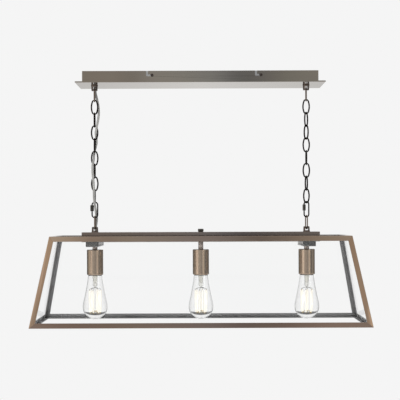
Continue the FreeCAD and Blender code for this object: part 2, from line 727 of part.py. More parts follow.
add("clip_screws", clip_screws)

# cross straps: U-shaped, with feet under the top rails, carried by the stems
straps = []
for sx in (-1, 1):
    x0, x1 = sx * HANG_X - STRAP_W / 2, sx * HANG_X + STRAP_W / 2
    sh, st = STRAP_HY, STRAP_T
    ztop = TOP_Z - RAIL_T - 0.1
    pts = [
        (x0, -77.0, ztop),
        (x0, -sh + st, ztop),
        (x0, -sh + st, STRAP_Z + st),
        (x0, sh - st, STRAP_Z + st),
        (x0, sh - st, ztop),
        (x0, 77.0, ztop),
        (x0, 77.0, ztop - st),
        (x0, sh, ztop - st),
        (x0, sh, STRAP_Z),
        (x0, -sh, STRAP_Z),
        (x0, -sh, ztop - st),
        (x0, -77.0, ztop - st),
    ]
    s = prism(pts, (STRAP_W, 0, 0))
    bends = [
        e
        for e in s.Edges
        if abs(abs(e.CenterOfMass.y) - sh) < 0.01
        and abs(e.CenterOfMass.z - STRAP_Z) < 0.01
        and abs(e.Length - STRAP_W) < 0.01
    ]
    s = s.makeFillet(2.0, bends)
    s = s.cut(cyl(STEM_THREAD_R + 0.1, (sx * HANG_X, 0, STRAP_Z - 5), (sx * HANG_X, 0, STRAP_Z + 8)))
    straps.append(s)
add("cross_straps", straps)

# ---------------------------------------------------------------------------
# Lampholders: threaded stem, metal cup, insulator, and the bulb
# ---------------------------------------------------------------------------
stems = []
for x in LAMP_XS:
    shoulder = base_z0 if x == 0 else STRAP_Z
    thread_top = CHANNEL_TOP + 5.6 if x == 0 else base_top + 8.0
    s = cyl(STEM_R, (x, 0, CUP_TOP), (x, 0, shoulder))
    s = s.fuse(cyl(STEM_THREAD_R, (x, 0, CUP_TOP - CUP_T - 5.0), (x, 0, thread_top))).removeSplitter()
    s = s.cut(cyl(STEM_BORE_R, (x, 0, CUP_TOP - 20), (x, 0, base_top + 9.0 if x else base_top + 16.0)))
    stems.append(s)
add("lamp_stems", stems)

cup_bot = CUP_TOP - CUP_H
for x, name in zip(LAMP_XS, LAMP_NAMES):
    R, T = CUP_R, CUP_T
    prof = [(STEM_THREAD_R + 0.05, CUP_TOP)]
    n = 5
    for k in range(n + 1):
        a = math.pi / 2 * (1 - k / n)
        prof.append((R - 1.6 + 1.6 * math.cos(a), CUP_TOP - 1.6 + 1.6 * math.sin(a)))
    for k in range(n + 1):
        a = -math.pi / 2 * k / n
        prof.append((R - 3.0 + 3.0 * math.cos(a), cup_bot + 3.0 + 3.0 * math.sin(a)))
    prof.append((R - 3.2, cup_bot))
    prof.append((R - 3.2, cup_bot + 1.0))
    prof.append((R - T, cup_bot + 3.2))
    prof.append((R - T, CUP_TOP - T))
    prof.append((STEM_THREAD_R + 0.05, CUP_TOP - T))
    cup = revolved(prof, x)
    add("lampholder_cup_" + name, cup)

insulators = []
ins_top = CUP_TOP - CUP_T - 5.0
for x in LAMP_XS:
    prof = [
        (0, ins_top),
        (15.0, ins_top),
        (CUP_R - CUP_T - 0.3, ins_top - 6.0),
        (CUP_R - CUP_T - 0.3, cup_bot + 13.0),
        (CAP_R + 0.5, cup_bot + 13.0),
        (CAP_R + 0.5, cup_bot + 29.5),
        (0, cup_bot + 29.5),
    ]
    s = revolved(prof, x)
    # the neck that the stem screws into, and the wire hole through it
    neck = cyl(9.0, (x, 0, ins_top), (x, 0, CUP_TOP - CUP_T))
    s = s.fuse(neck).removeSplitter()
    s = s.cut(cyl(STEM_THREAD_R, (x, 0, ins_top), (x, 0, CUP_TOP + 1)))
    s = s.cut(cyl(2.5, (x, 0, ins_top - 8), (x, 0, ins_top + 1)))
    insulators.append(s)
add("lampholder_insulators", insulators)

# bulb: the outline is a smooth turned curve; radius, height above the tip
BULB_OUT = [
    (0.0, 0.0),
    (8.0, 1.0),
    (15.5, 4.0),
    (22.5, 9.2),
    (28.2, 16.4),
    (31.3, 24.6),
    (32.0, 32.0),
    (31.3, 40.5),
    (28.6, 53.0),
    (25.6, 67.0),
    (22.8, 81.0),
    (20.5, 94.0),
    (19.0, 105.0),
    (18.0, 113.0),
]
cap_z0 = BULB_TIP + 114.0
for x, name in zip(LAMP_XS, LAMP_NAMES):
    wall = 0.9
    out = Part.BSplineCurve()
    out.interpolate(
        [V(r, 0, BULB_TIP + h) for r, h in BULB_OUT],
        InitialTangent=V(1, 0, 0),
        FinalTangent=V(-0.06, 0, 1),
    )
    inn = Part.BSplineCurve()
    inn.interpolate(
        [V(max(0.0, r - wall if r > 9 else r * 0.98), 0, BULB_TIP + h + (wall if r < 9 else wall * (1 - r / 33))) for r, h in BULB_OUT],
        InitialTangent=V(1, 0, 0),
        FinalTangent=V(-0.06, 0, 1),
    )
    # shoulder rolled in to the cap
    top_o, top_i = out.EndPoint, inn.EndPoint
    e = [out.toShape()]
    e.append(Part.makeLine(top_o, V(15.0, 0, cap_z0 + 1.2)))
    e.append(Part.makeLine(V(15.0, 0, cap_z0 + 1.2), V(12.2, 0, cap_z0 + 2.4)))
    e.append(Part.makeLine(V(12.2, 0, cap_z0 + 2.4), V(12.2, 0, cap_z0 + 1.4)))
    e.append(Part.makeLine(V(12.2, 0, cap_z0 + 1.4), V(top_i.x - 1.2, 0, top_i.z - 1.0)))
    e.append(Part.makeLine(V(top_i.x - 1.2, 0, top_i.z - 1.0), top_i))
    e.append(inn.toShape())
    e.append(Part.makeLine(inn.StartPoint, out.StartPoint))
    w = Part.Wire(Part.__sortEdges__(e))
    g = Part.Face(w).revolve(V(0, 0, 0), V(0, 0, 1), 360)
    if not g.Solids:
        g = Part.Solid(g)
    g.translate(V(x, 0, 0))
    add("bulb_glass_" + name, g)

    # screw cap: a rolled thread, and the insulated contact on top
    prof = [(13.6, cap_z0 + 2.5), (13.6, cap_z0 + 4.2), (12.3, cap_z0 + 4.9)]
    z = cap_z0 + 5.3
    for k in range(4):
        prof += [(12.1, z), (12.9, z + 0.9), (CAP_R, z + 1.8), (12.9, z + 2.7)]
        z += 3.6
    prof += [(12.1, z), (11.6, z + 1.0), (7.0, z + 3.6), (4.6, z + 4.4), (4.6, z + 5.2), (0, z + 5.4), (0, cap_z0 + 2.5)]
    shell = revolved(prof, x)
    hollow = revolved(
        [
            (0, cap_z0),
            (11.5, cap_z0),
            (11.5, z + 0.2),
            (6.4, z + 2.8),
            (0, z + 3.0),
        ],
        x,
    )
    add("bulb_cap_" + name, shell.cut(hollow))

    # inside: glass stem press, support wires, and the long filaments
    sp = []
    stem_prof = [
        (0, cap_z0 + 1.3),
        (9.5, cap_z0 + 1.3),
        (7.0, cap_z0 - 3.5),
        (5.3, cap_z0 - 10.0),
        (5.0, cap_z0 - 26.0),
        (3.6, cap_z0 - 29.5),
        (0, cap_z0 - 30.5),
    ]
    body = revolved(stem_prof, x)
    rod = cyl(0.9, (x, 0, cap_z0 - 30.0), (x, 0, BULB_TIP + 17.0))
    body = body.fuse(rod)
    n = 6
    top_z, bot_z = cap_z0 - 38.0, BULB_TIP + 15.5
    for k in range(n):
        a = 2 * math.pi * (k + 0.5) / n
        cx, cy = 13.0 * math.cos(a), 13.0 * math.sin(a)
        bx, by = 11.0 * math.cos(a), 11.0 * math.sin(a)
        arm_t = cyl(0.35, (x, 0, cap_z0 - 31.5), (x + cx, cy, top_z))
        arm_b = cyl(0.35, (x, 0, BULB_TIP + 19.5), (x + bx, by, bot_z))
        strand = cyl(0.75, (x + cx, cy, top_z), (x + bx, by, bot_z))
        body = body.fuse([arm_t, arm_b, strand])
    add("bulb_filament_" + name, body)

# ---------------------------------------------------------------------------
for name, solids in nodes.items():
    shape = solids[0] if len(solids) == 1 else Part.makeCompound(solids)
    bad = [k for k, s in enumerate(solids) if not s.isValid() or s.Volume <= 0]
    if bad or not solids:
        print("CHECK", name, bad, len(solids))
    shape.exportStep("parts/" + name + ".step")

print("nodes", len(nodes))
print(
    "upper pin z %.3f lower pin z %.3f upper pivot z %.3f lower pivot z %.3f" % (UP_PIN_Z, LOW_PIN_Z, UPPER_PIVOT_Z, LOWER_PIVOT_Z)
)
print(
    "loop %.3f %.3f links from %.3f to %.3f quick link %.3f %.3f low loop %.3f %.3f" % (
        loop_top,
        loop_bottom,
        first_top,
        last_bottom,
        ql_top,
        ql_bottom,
        low_top,
        low_bottom,
    )
)
print("low pin gap %.3f" % (LOW_PIN_Z - PIN_R - (low_bottom + WIRE)))
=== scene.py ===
import bpy
import bmesh
import math
from mathutils import Vector, Matrix


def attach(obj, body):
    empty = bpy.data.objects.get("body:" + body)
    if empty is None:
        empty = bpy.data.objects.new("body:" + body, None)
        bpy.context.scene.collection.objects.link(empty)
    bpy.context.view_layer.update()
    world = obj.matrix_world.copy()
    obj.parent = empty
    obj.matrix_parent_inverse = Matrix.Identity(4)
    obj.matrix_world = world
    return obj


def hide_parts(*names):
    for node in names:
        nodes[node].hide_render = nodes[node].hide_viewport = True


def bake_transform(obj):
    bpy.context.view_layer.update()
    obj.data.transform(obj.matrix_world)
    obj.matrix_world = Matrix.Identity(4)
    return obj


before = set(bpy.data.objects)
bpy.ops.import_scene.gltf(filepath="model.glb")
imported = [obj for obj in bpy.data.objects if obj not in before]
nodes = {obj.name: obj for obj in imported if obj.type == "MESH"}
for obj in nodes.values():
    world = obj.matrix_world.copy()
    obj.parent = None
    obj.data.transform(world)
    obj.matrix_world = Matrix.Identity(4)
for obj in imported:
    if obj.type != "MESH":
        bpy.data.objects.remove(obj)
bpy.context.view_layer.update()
scene = bpy.context.scene
MM = 0.001

# ---------------------------------------------------------------------------
# Camera: level, in front of the light, a little above its middle
# ---------------------------------------------------------------------------
cam_data = bpy.data.cameras.new("camera")
cam_data.sensor_width = 36.0
cam_data.lens = 90.0
cam_data.shift_y = 0.04
cam_data.clip_start = 0.05
cam_data.clip_end = 60.0
camera = bpy.data.objects.new("camera", cam_data)
scene.collection.objects.link(camera)
camera.location = (-0.0018, -2.600, -0.3716)
camera.rotation_euler = (math.radians(90), math.radians(0.2), 0)
scene.camera = camera

# ---------------------------------------------------------------------------
# Numbers shared with the CAD model, in millimetres
# ---------------------------------------------------------------------------
HANG_X = 275.0
LAMPS = (("left", -275.0), ("centre", 0.0), ("right", 275.0))
WIRE = 3.2
LINK_L, LINK_W, LINK_NOSE, LIMB = 39.6, 19.4, 5.8, 1.2
PITCH = 33.15
FIRST_TOP = -68.3
QL_WIRE, QL_L, QL_W = 3.5, 43.4, 18.0
QL_TOP = -333.2
LOOP_W = 19.2
UPPER_LOOP = (-37.6, -75.0)
LOWER_LOOP = (-369.6, -407.2)
TURNS = {
    "left": (0, 90, 0, 90, 0, 90, 0, 90),
    "right": (-8, 57, -58, 7, 90, 0, 65, -37),
}
LOOP_TURNS = {"left": (90, 0, 90), "right": (79, 28, 101)}
CUP_TOP, CUP_H, CUP_R, CUP_T = -458.3, 65.7, 21.1, 1.5
STEM_R = 5.05
BULB_TIP = -638.6
CAP_Z0 = BULB_TIP + 114.0
PLATE_UNDER = -32.0

# ---------------------------------------------------------------------------
# Supply cable: one smooth spline on the points of its route
# ---------------------------------------------------------------------------
CABLE_R = 3.0
CABLE_ROUTE = [
    (0.0, 14.6, -25.5),
    (0.0, 14.6, -39.5),
    (2.2, 14.2, -54.0),
    (6.6, 12.2, -71.0),
    (10.0, 8.0, -89.5),
    (10.8, 2.0, -108.0),
    (9.1, -3.0, -123.5),
    (7.0, -5.8, -135.5),
    (4.8, -5.0, -146.0),
    (2.7, -1.0, -155.0),
    (3.9, 5.4, -165.5),
    (4.4, 11.6, -177.5),
    (1.2, 14.4, -190.5),
    (-1.8, 12.4, -203.0),
    (-2.8, 5.6, -215.0),
    (-2.5, -1.7, -227.0),
    (-5.0, -7.6, -239.0),
    (-5.0, -11.2, -253.0),
    (-3.2, -12.6, -270.0),
    (-1.6, -12.4, -289.0),
    (-1.0, -13.6, -308.0),
    (-0.6, -14.3, -326.0),
    (0.4, -11.1, -340.0),
    (1.9, -3.6, -351.5),
    (2.5, 3.8, -363.0),
    (4.0, 10.5, -374.5),
    (3.2, 14.0, -386.5),
    (0.8, 14.9, -397.5),
    (0.0, 14.6, -408.0),
    (0.0, 14.6, -418.5),
]


def spline_points(route):
    """The points of the route's NURBS spline, in metres."""
    cu = bpy.data.curves.new("cable_route", "CURVE")
    cu.dimensions = "3D"
    cu.resolution_u = 10
    sp = cu.splines.new("NURBS")
    sp.points.add(len(route) - 1)
    for p, (x, y, z) in zip(sp.points, route):
        p.co = ((x - HANG_X) * MM, y * MM, z * MM, 1.0)
    sp.order_u = 3
    sp.use_endpoint_u = True
    ob = bpy.data.objects.new("cable_route", cu)
    scene.collection.objects.link(ob)
    dg = bpy.context.evaluated_depsgraph_get()
    me = bpy.data.meshes.new_from_object(ob.evaluated_get(dg))
    pts = [v.co.copy() for v in me.vertices]
    bpy.data.meshes.remove(me)
    bpy.data.objects.remove(ob)
    bpy.data.curves.remove(cu)
    return pts


# ---------------------------------------------------------------------------
# Mesh helpers
# ---------------------------------------------------------------------------
def finish_mesh(name, bm, mats, sharp=32.0, smooth=True):
    """A bmesh becomes an object: normals outward, sharp edges kept sharp."""
    bmesh.ops.recalc_face_normals(bm, faces=bm.faces)
    limit = math.radians(sharp)
    for f in bm.faces:
        f.smooth = smooth
    for e in bm.edges:
        if len(e.link_faces) == 2:
            e.smooth = e.calc_face_angle(0.0) < limit
    me = bpy.data.meshes.new(name)
    bm.to_mesh(me)
    bm.free()
    for m in mats:
        me.materials.append(m)
    ob = bpy.data.objects.new(name, me)
    scene.collection.objects.link(ob)
    return ob


def add_lathe(bm, profile, x=0.0, y=0.0, seg=96, closed=False, mat=0, warp=None):
    """Turn (radius, z) points in mm about a vertical axis through x, y."""
    rings = []
    for i, (r, z) in enumerate(profile):
        if r < 1e-6:
            rings.append([bm.verts.new((x * MM, y * MM, z * MM))])
            continue
        ring = []
        for k in range(seg):
            a = 2 * math.pi * k / seg
            rr, zz = (r, z) if warp is None else warp(r, z, a, i)
            ring.append(bm.verts.new(((x + rr * math.cos(a)) * MM, (y + rr * math.sin(a)) * MM, zz * MM)))
        rings.append(ring)
    pairs = list(zip(rings[:-1], rings[1:]))
    if closed:
        pairs.append((rings[-1], rings[0]))
    for a, b in pairs:
        if len(a) == 1 and len(b) == 1:
            continue
        for k in range(seg):
            m = (k + 1) % seg
            if len(a) == 1:
                f = bm.faces.new((a[0], b[k], b[m]))
            elif len(b) == 1:
                f = bm.faces.new((a[k], b[0], a[m]))
            else:
                f = bm.faces.new((a[k], b[k], b[m], a[m]))
            f.material_index = mat
    return rings


def frames_along(points, closed=False):
    """Unit tangents and a side vector for each point that doesn't twist."""
    n = len(points)
    tangents = []
    for i in range(n):
        if closed:
            t = points[(i + 1) % n] - points[i - 1]
        else:
            t = points[min(i + 1, n - 1)] - points[max(i - 1, 0)]
        tangents.append(t.normalized())
    side = tangents[0].orthogonal().normalized()
    out = []
    for i, t in enumerate(tangents):
        side = (side - t * side.dot(t)).normalized()
        out.append((t, side.copy(), t.cross(side)))
    return out


def add_tube(bm, points, radius, seg=16, closed=False, frames=None, mat=0, caps=True):
    """A round wire through the points (metres). radius is one number or a list."""
    frames = frames or frames_along(points, closed)
    n = len(points)
    radii = radius if isinstance(radius, (list, tuple)) else [radius] * n
    rings = []
    for p, (t, u, v), r in zip(points, frames, radii):
        rings.append(
            [
                bm.verts.new(p + (u * math.cos(2 * math.pi * k / seg) + v * math.sin(2 * math.pi * k / seg)) * r)
                for k in range(seg)
            ]
        )
    pairs = list(zip(rings[:-1], rings[1:]))
    if closed:
        a, b = rings[-1], rings[0]
        # line the last ring up with the first
        best = min(range(seg), key=lambda s: (a[0].co - b[s].co).length)
        pairs.append((a, b[best:] + b[:best]))
    for a, b in pairs:
        for k in range(seg):
            m = (k + 1) % seg
            bm.faces.new((a[k], a[m], b[m], b[k])).material_index = mat
    if caps and not closed:
        for ring, p, flip in ((rings[0], points[0], True), (rings[-1], points[-1], False)):
            c = bm.verts.new(p)
            for k in range(seg):
                m = (k + 1) % seg
                bm.faces.new((c, ring[m], ring[k]) if flip else (c, ring[k], ring[m])).material_index = mat
    return rings


def stadium(length, width, wire, arc=22, run=7, weld=None):
    """Points (mm, in XZ) round a welded link's centre line, and the wire radii."""
    r = wire / 2
    a = width / 2 - r
    h = length / 2 - r - a
    pts, rad = [], []
    for k in range(arc + 1):
        t = math.pi * k / arc
        pts.append((a * math.cos(t), h + a * math.sin(t)))
        rad.append(r)
    zs = [h - 2 * h * k / run for k in range(1, run)]
    for z in zs:
        pts.append((-a, z))
        rad.append(r)
    for k in range(arc + 1):
        t = math.pi + math.pi * k / arc
        pts.append((a * math.cos(t), -h + a * math.sin(t)))
        rad.append(r)
    # the butt joint, half way up the right-hand side
    for z, q in ((-h * 0.6, 1.0), (-0.55, 1.0), (-0.32, 0.97), (-0.14, 0.86), (0.14, 0.86), (0.32, 0.97), (0.55, 1.0), (h * 0.6, 1.0)):
        pts.append((a, z))
        rad.append(r * q)
    return pts, rad


def oval(length, width, wire, nose):
    """The same for a chain link: two end arcs joined by two flat side arcs. The
    wire keeps its size at the noses, where links bear on each other, and is
    fuller along the limbs."""
    r = wire / 2
    a, b = width / 2 - r, length / 2 - r
    c = ((b - nose) ** 2 - (a - nose) ** 2) / (2 * (a - nose))
    half = math.atan2(b - nose, c)
    pts, rad = [], []
    # the butt joint is half way up the right-hand side
    weld = {0.0: 0.86, 0.004: 0.86, -0.004: 0.86, 0.009: 0.97, -0.009: 0.97, 0.015: 1.0, -0.015: 1.0}
    right = sorted(list(weld) + [half * k / 6 for k in range(-6, 7) if k])
    for t in right:
        pts.append((-c + (a + c) * math.cos(t), (a + c) * math.sin(t)))
        rad.append(r * LIMB * weld.get(t, 1.0))
    for k in range(1, 18):
        t = half + (math.pi - 2 * half) * k / 18
        pts.append((nose * math.cos(t), b - nose + nose * math.sin(t)))
        rad.append(r * (1 + (LIMB - 1) * abs(math.cos(t)) ** 3))
    for k in range(-6, 7):
        t = half * k / 6
        pts.append((c - (a + c) * math.cos(t), -(a + c) * math.sin(t)))
        rad.append(r * LIMB)
    for k in range(1, 18):
        t = math.pi + half + (math.pi - 2 * half) * k / 18
        pts.append((nose * math.cos(t), -(b - nose) + nose * math.sin(t)))
        rad.append(r * (1 + (LIMB - 1) * abs(math.cos(t)) ** 3))
    return pts, rad


def wire_link(name, length, width, wire, x, z_mid, turn, mats, seg=18, nose=None):
    pts, rad = oval(length, width, wire, nose) if nose else stadium(length, width, wire)
    c, s = math.cos(math.radians(turn)), math.sin(math.radians(turn))
    world = [Vector(((x + px * c) * MM, px * s * MM, (z_mid + pz) * MM)) for px, pz in pts]
    bm = bmesh.new()
    # a link lies in one plane, so its side vector is that plane's normal
    side = Vector((-s, c, 0))
    frames = []
    n = len(world)
    for i in range(n):
        t = (world[(i + 1) % n] - world[i - 1]).normalized()
        frames.append((t, side, t.cross(side)))
    add_tube(bm, world, [q * MM for q in rad], seg=seg, closed=True, frames=frames)
    return finish_mesh(name, bm, mats, sharp=60)


# ---------------------------------------------------------------------------
# Materials
# ---------------------------------------------------------------------------
def material(name):
    m = bpy.data.materials.new(name)
    m.use_nodes = True
    nt = m.node_tree
    nt.nodes.clear()
    out = nt.nodes.new("ShaderNodeOutputMaterial")
    bsdf = nt.nodes.new("ShaderNodeBsdfPrincipled")
    nt.links.new(bsdf.outputs[0], out.inputs[0])
    return m, nt, bsdf


def coords(nt, scale=(1, 1, 1)):
    tc = nt.nodes.new("ShaderNodeTexCoord")
    mp = nt.nodes.new("ShaderNodeMapping")
    mp.inputs["Scale"].default_value = scale
    nt.links.new(tc.outputs["Object"], mp.inputs["Vector"])
    return mp.outputs["Vector"]


def noise(nt, vec, scale, detail=3.0, rough=0.55, distortion=0.0):
    n = nt.nodes.new("ShaderNodeTexNoise")
    n.inputs["Scale"].default_value = scale
    n.inputs["Detail"].default_value = detail
    n.inputs["Roughness"].default_value = rough
    n.inputs["Distortion"].default_value = distortion
    nt.links.new(vec, n.inputs["Vector"])
    return n.outputs["Fac"]


def ramp(nt, fac, stops):
    r = nt.nodes.new("ShaderNodeValToRGB")
    el = r.color_ramp.elements
    while len(el) > 1:
        el.remove(el[-1])
    el[0].position = stops[0][0]
    el[0].color = (*stops[0][1], 1)
    for p, c in stops[1:]:
        e = el.new(p)
        e.color = (*c, 1)
    nt.links.new(fac, r.inputs[0])
    return r.outputs["Color"]


def spread(nt, fac, lo, hi, a=0.3, b=0.7):
    m = nt.nodes.new("ShaderNodeMapRange")
    m.inputs["From Min"].default_value = a
    m.inputs["From Max"].default_value = b
    m.inputs["To Min"].default_value = lo
    m.inputs["To Max"].default_value = hi
    nt.links.new(fac, m.inputs["Value"])
    return m.outputs["Result"]


def mix(nt, fac, a, b, blend="MIX"):
    m = nt.nodes.new("ShaderNodeMix")
    m.data_type = "RGBA"
    m.blend_type = blend
    for sock, v in ((m.inputs[0], fac), (m.inputs[6], a), (m.inputs[7], b)):
        if isinstance(v, (int, float)):
            sock.default_value = v
        elif isinstance(v, tuple):
            sock.default_value = (*v, 1)
        else:
            nt.links.new(v, sock)
    return m.outputs[2]


def math_node(nt, op, a, b=None):
    m = nt.nodes.new("ShaderNodeMath")
    m.operation = op
    for sock, v in zip(m.inputs, (a, b)):
        if v is None:
            continue
        if isinstance(v, (int, float)):
            sock.default_value = v
        else:
            nt.links.new(v, sock)
    return m.outputs[0]


def bump(nt, height, strength, distance):
    b = nt.nodes.new("ShaderNodeBump")
    b.inputs["Strength"].default_value = strength
    b.inputs["Distance"].default_value = distance
    nt.links.new(height, b.inputs["Height"])
    return b.outputs["Normal"]


STRETCH = {"x": (0.03, 1, 1), "y": (1, 0.03, 1), "z": (1, 1, 0.03), None: (1, 1, 1)}


def metal(name, base, vary=0.07, rough=(0.15, 0.20), grain=None, coat=0.0, patina=8.0, bumps=0.05, streak=0.4, inner=None, rub=0.0, edge=None, upright=False, primer=None):
    """Patinated plate: a slow cloudy tone between a redder dark and a more
    olive light, drawn or rolled grain, and gloss that varies with both.
    With inner, faces that look into the lantern take that tone instead."""
    m, nt, p = material(name)
    vec = coords(nt)
    gvec = coords(nt, STRETCH[grain])
    cloud = noise(nt, vec, patina, 4.0, 0.5, 0.3)
    mid = noise(nt, gvec, 140.0, 3.0, 0.5)
    fine = noise(nt, gvec, 1500.0, 2.0, 0.5)
    hue = (1.02, 0.985, 0.99), (0.985, 1.015, 0.97)
    dark = tuple(c * (1 - vary) * h for c, h in zip(base, hue[0]))
    light = tuple(min(1.0, c * (1 + vary) * h) for c, h in zip(base, hue[1]))
    tone = ramp(nt, cloud, [(0.30, dark), (0.5, base), (0.70, light)])
    lines = ramp(nt, mid, [(0.30, dark), (0.5, base), (0.70, light)])
    col = mix(nt, streak, tone, lines)
    if rub:
        # rubbed flecks where the plate has been handled
        worn = noise(nt, vec, 260.0, 3.0, 0.65)
        spots = ramp(nt, worn, [(0.0, (0, 0, 0)), (0.60, (0, 0, 0)), (0.72, (1, 1, 1))])
        col = mix(nt, math_node(nt, "MULTIPLY", spots, rub), col, tuple(min(1.0, 1.6 * c) for c in base))
    if inner is not None:
        tc = nt.nodes.new("ShaderNodeTexCoord")
        sub = nt.nodes.new("ShaderNodeVectorMath")
        sub.operation = "SUBTRACT"
        sub.inputs[1].default_value = (0, 0, -0.536)
        nt.links.new(tc.outputs["Object"], sub.inputs[0])
        sc = nt.nodes.new("ShaderNodeVectorMath")
        sc.operation = "MULTIPLY"
        sc.inputs[1].default_value = (0.28, 1.0, 1.0)
        nt.links.new(sub.outputs[0], sc.inputs[0])
        dot = nt.nodes.new("ShaderNodeVectorMath")
        dot.operation = "DOT_PRODUCT"
        nt.links.new(sc.outputs[0], dot.inputs[0])
        nt.links.new(tc.outputs["Normal"], dot.inputs[1])
        inside = spread(nt, dot.outputs["Value"], 1.0, 0.0, -0.02, 0.0)
        if upright:
            # only the faces that look across the lantern; on the strap these take a pale painted reflection
            nsep = nt.nodes.new("ShaderNodeSeparateXYZ")
            nt.links.new(tc.outputs["Normal"], nsep.inputs[0])
            across = math_node(nt, "GREATER_THAN", math_node(nt, "ABSOLUTE", nsep.outputs["Y"]), 0.7)
            inside = math_node(nt, "MULTIPLY", inside, across)
        itone = ramp(nt, cloud, [(0.3, tuple(0.92 * c for c in inner)), (0.7, tuple(min(1, 1.08 * c) for c in inner))])
        col = mix(nt, inside, col, itone)
    lined = None
    if primer is not None:
        # inside the box the plate keeps a dull primer coat
        ptc = nt.nodes.new("ShaderNodeTexCoord")
        psep = nt.nodes.new("ShaderNodeSeparateXYZ")
        nt.links.new(ptc.outputs["Object"], psep.inputs[0])
        lined = math_node(nt, "LESS_THAN", math_node(nt, "ABSOLUTE", psep.outputs["X"]), 0.3013)
        lined = math_node(nt, "MULTIPLY", lined, math_node(nt, "LESS_THAN", math_node(nt, "ABSOLUTE", psep.outputs["Y"]), 0.0433))
        lined = math_node(nt, "MULTIPLY", lined, math_node(nt, "GREATER_THAN", psep.outputs["Z"], -0.0292))
        col = mix(nt, lined, col, ramp(nt, cloud, [(0.3, tuple(0.92 * c for c in primer)), (0.7, primer)]))
    nt.links.new(col, p.inputs["Base Color"])
    r = math_node(nt, "ADD", spread(nt, cloud, rough[0], rough[1]), spread(nt, fine, -0.015, 0.015))
    if lined is not None:
        r = math_node(nt, "ADD", r, math_node(nt, "MULTIPLY", lined, 0.45))
    if inner is not None:
        r = math_node(nt, "ADD", r, math_node(nt, "MULTIPLY", inside, 0.30))
    nt.links.new(r, p.inputs["Roughness"])
    h = math_node(nt, "ADD", fine, math_node(nt, "MULTIPLY", mid, 0.5))
    if inner is not None:
        # the primer inside has filled the grain
        h = math_node(nt, "MULTIPLY", h, math_node(nt, "SUBTRACT", 1.0, math_node(nt, "MULTIPLY", inside, 0.85)))
    nt.links.new(bump(nt, h, bumps, 0.0001), p.inputs["Normal"])
    if lined is not None:
        nt.links.new(math_node(nt, "SUBTRACT", 1.0, math_node(nt, "MULTIPLY", lined, 0.7)), p.inputs["Metallic"])
    elif inner is not None:
        nt.links.new(math_node(nt, "SUBTRACT", 1.0, math_node(nt, "MULTIPLY", inside, 1.0 if upright else 0.65)), p.inputs["Metallic"])
    else:
        p.inputs["Metallic"].default_value = 1.0
    if edge is not None:
        p.inputs["Specular Tint"].default_value = (*edge, 1)
    p.inputs["Coat Weight"].default_value = coat
    p.inputs["Coat Roughness"].default_value = 0.15
    return m


# The bottom rails take a darker copy of the frame bronze and the top rails a lighter copy: painted shade and painted
# light. The top rails' inner faces take a darker grey than the other rails' inner faces: painted shade.
BRONZE = (0.53, 0.372, 0.262)
BRONZE_SHADED_LOW = (0.375, 0.275, 0.222)
BRONZE_LIT_TOP = (0.53, 0.405, 0.318)
M = {}
for g in ("x", "y", "z"):
    M["frame_" + g] = metal("antique_bronze_" + g, BRONZE, grain=g, rough=(0.10, 0.14), inner=(0.285, 0.285, 0.29))
    M["top_" + g] = metal("antique_bronze_top_lit_inner_shaded_" + g, BRONZE_LIT_TOP, grain=g, rough=(0.10, 0.14), inner=(0.15, 0.147, 0.145))
    M["low_" + g] = metal("antique_bronze_low_shaded_" + g, BRONZE_SHADED_LOW, grain=g, rough=(0.10, 0.14), inner=(0.285, 0.285, 0.29))
M["canopy"] = metal("canopy_bronze", (0.385, 0.345, 0.295), grain="x", rough=(0.08, 0.11), patina=6, vary=0.05, primer=(0.40, 0.38, 0.35))
M["channel"] = metal("channel_bronze", (0.27, 0.225, 0.20), grain="x", rough=(0.11, 0.15))
M["hardware"] = metal("hardware_bronze", (0.165, 0.132, 0.115), vary=0.12, rough=(0.22, 0.30), patina=60, bumps=0.08, rub=0.25)
M["stem"] = metal("stem_bronze", (0.60, 0.53, 0.495), vary=0.06, grain="z", rough=(0.40, 0.48), patina=40)
M["loop"] = metal("loop_bronze", (0.255, 0.205, 0.168), vary=0.12, rough=(0.24, 0.32), patina=60, bumps=0.08, rub=0.15)
M["pin"] = metal("pin_bronze", (0.115, 0.095, 0.088), vary=0.10, rough=(0.22, 0.30), patina=80, bumps=0.08, rub=0.2)
M["thumb"] = metal("thumb_nut_bronze", (0.175, 0.170, 0.158), vary=0.10, rough=(0.24, 0.32), patina=80, bumps=0.06, rub=0.25)
M["cup"] = metal("brushed_cup", (0.53, 0.42, 0.325), vary=0.06, grain="z", rough=(0.12, 0.16), patina=22, bumps=0.05, streak=0.6, edge=(0.42, 0.44, 0.48))
M["chain"] = metal("chain_dark", (0.024, 0.020, 0.018), vary=0.15, rough=(0.34, 0.44), patina=70, bumps=0.08, rub=0.15, edge=(0.30, 0.28, 0.26))
M["sleeve"] = metal("sleeve_nut_steel", (0.085, 0.080, 0.074), vary=0.12, rough=(0.28, 0.38), patina=80, bumps=0.06)
M["dark"] = metal("dark_steel", (0.11, 0.11, 0.108), vary=0.10, rough=(0.28, 0.38), patina=90, bumps=0.08)
# the strap's upright inner faces take a near-white, non-metallic tone: a painted reflection of the light
M["strap"] = metal("strap_gunmetal_inner_painted_reflection", (0.21, 0.21, 0.21), vary=0.08, grain="y", rough=(0.22, 0.30), patina=20, inner=(0.95, 0.95, 0.945), upright=True)
M["clip"] = metal("clip_gunmetal", (0.42, 0.42, 0.42), vary=0.08, grain="y", rough=(0.24, 0.32), patina=30, inner=(0.34, 0.34, 0.34))
M["zinc"] = metal("zinc_plate", (0.62, 0.625, 0.63), vary=0.09, rough=(0.22, 0.34), patina=55, bumps=0.06)
M["brass"] = metal("cap_plate", (0.66, 0.62, 0.50), vary=0.08, rough=(0.16, 0.24), patina=60)
M["gold"] = metal("anchor_wire", (0.62, 0.46, 0.18), vary=0.08, rough=(0.2, 0.3), patina=90)
M["nickel"] = metal("support_wire", (0.13, 0.125, 0.11), vary=0.10, rough=(0.25, 0.35), patina=90)


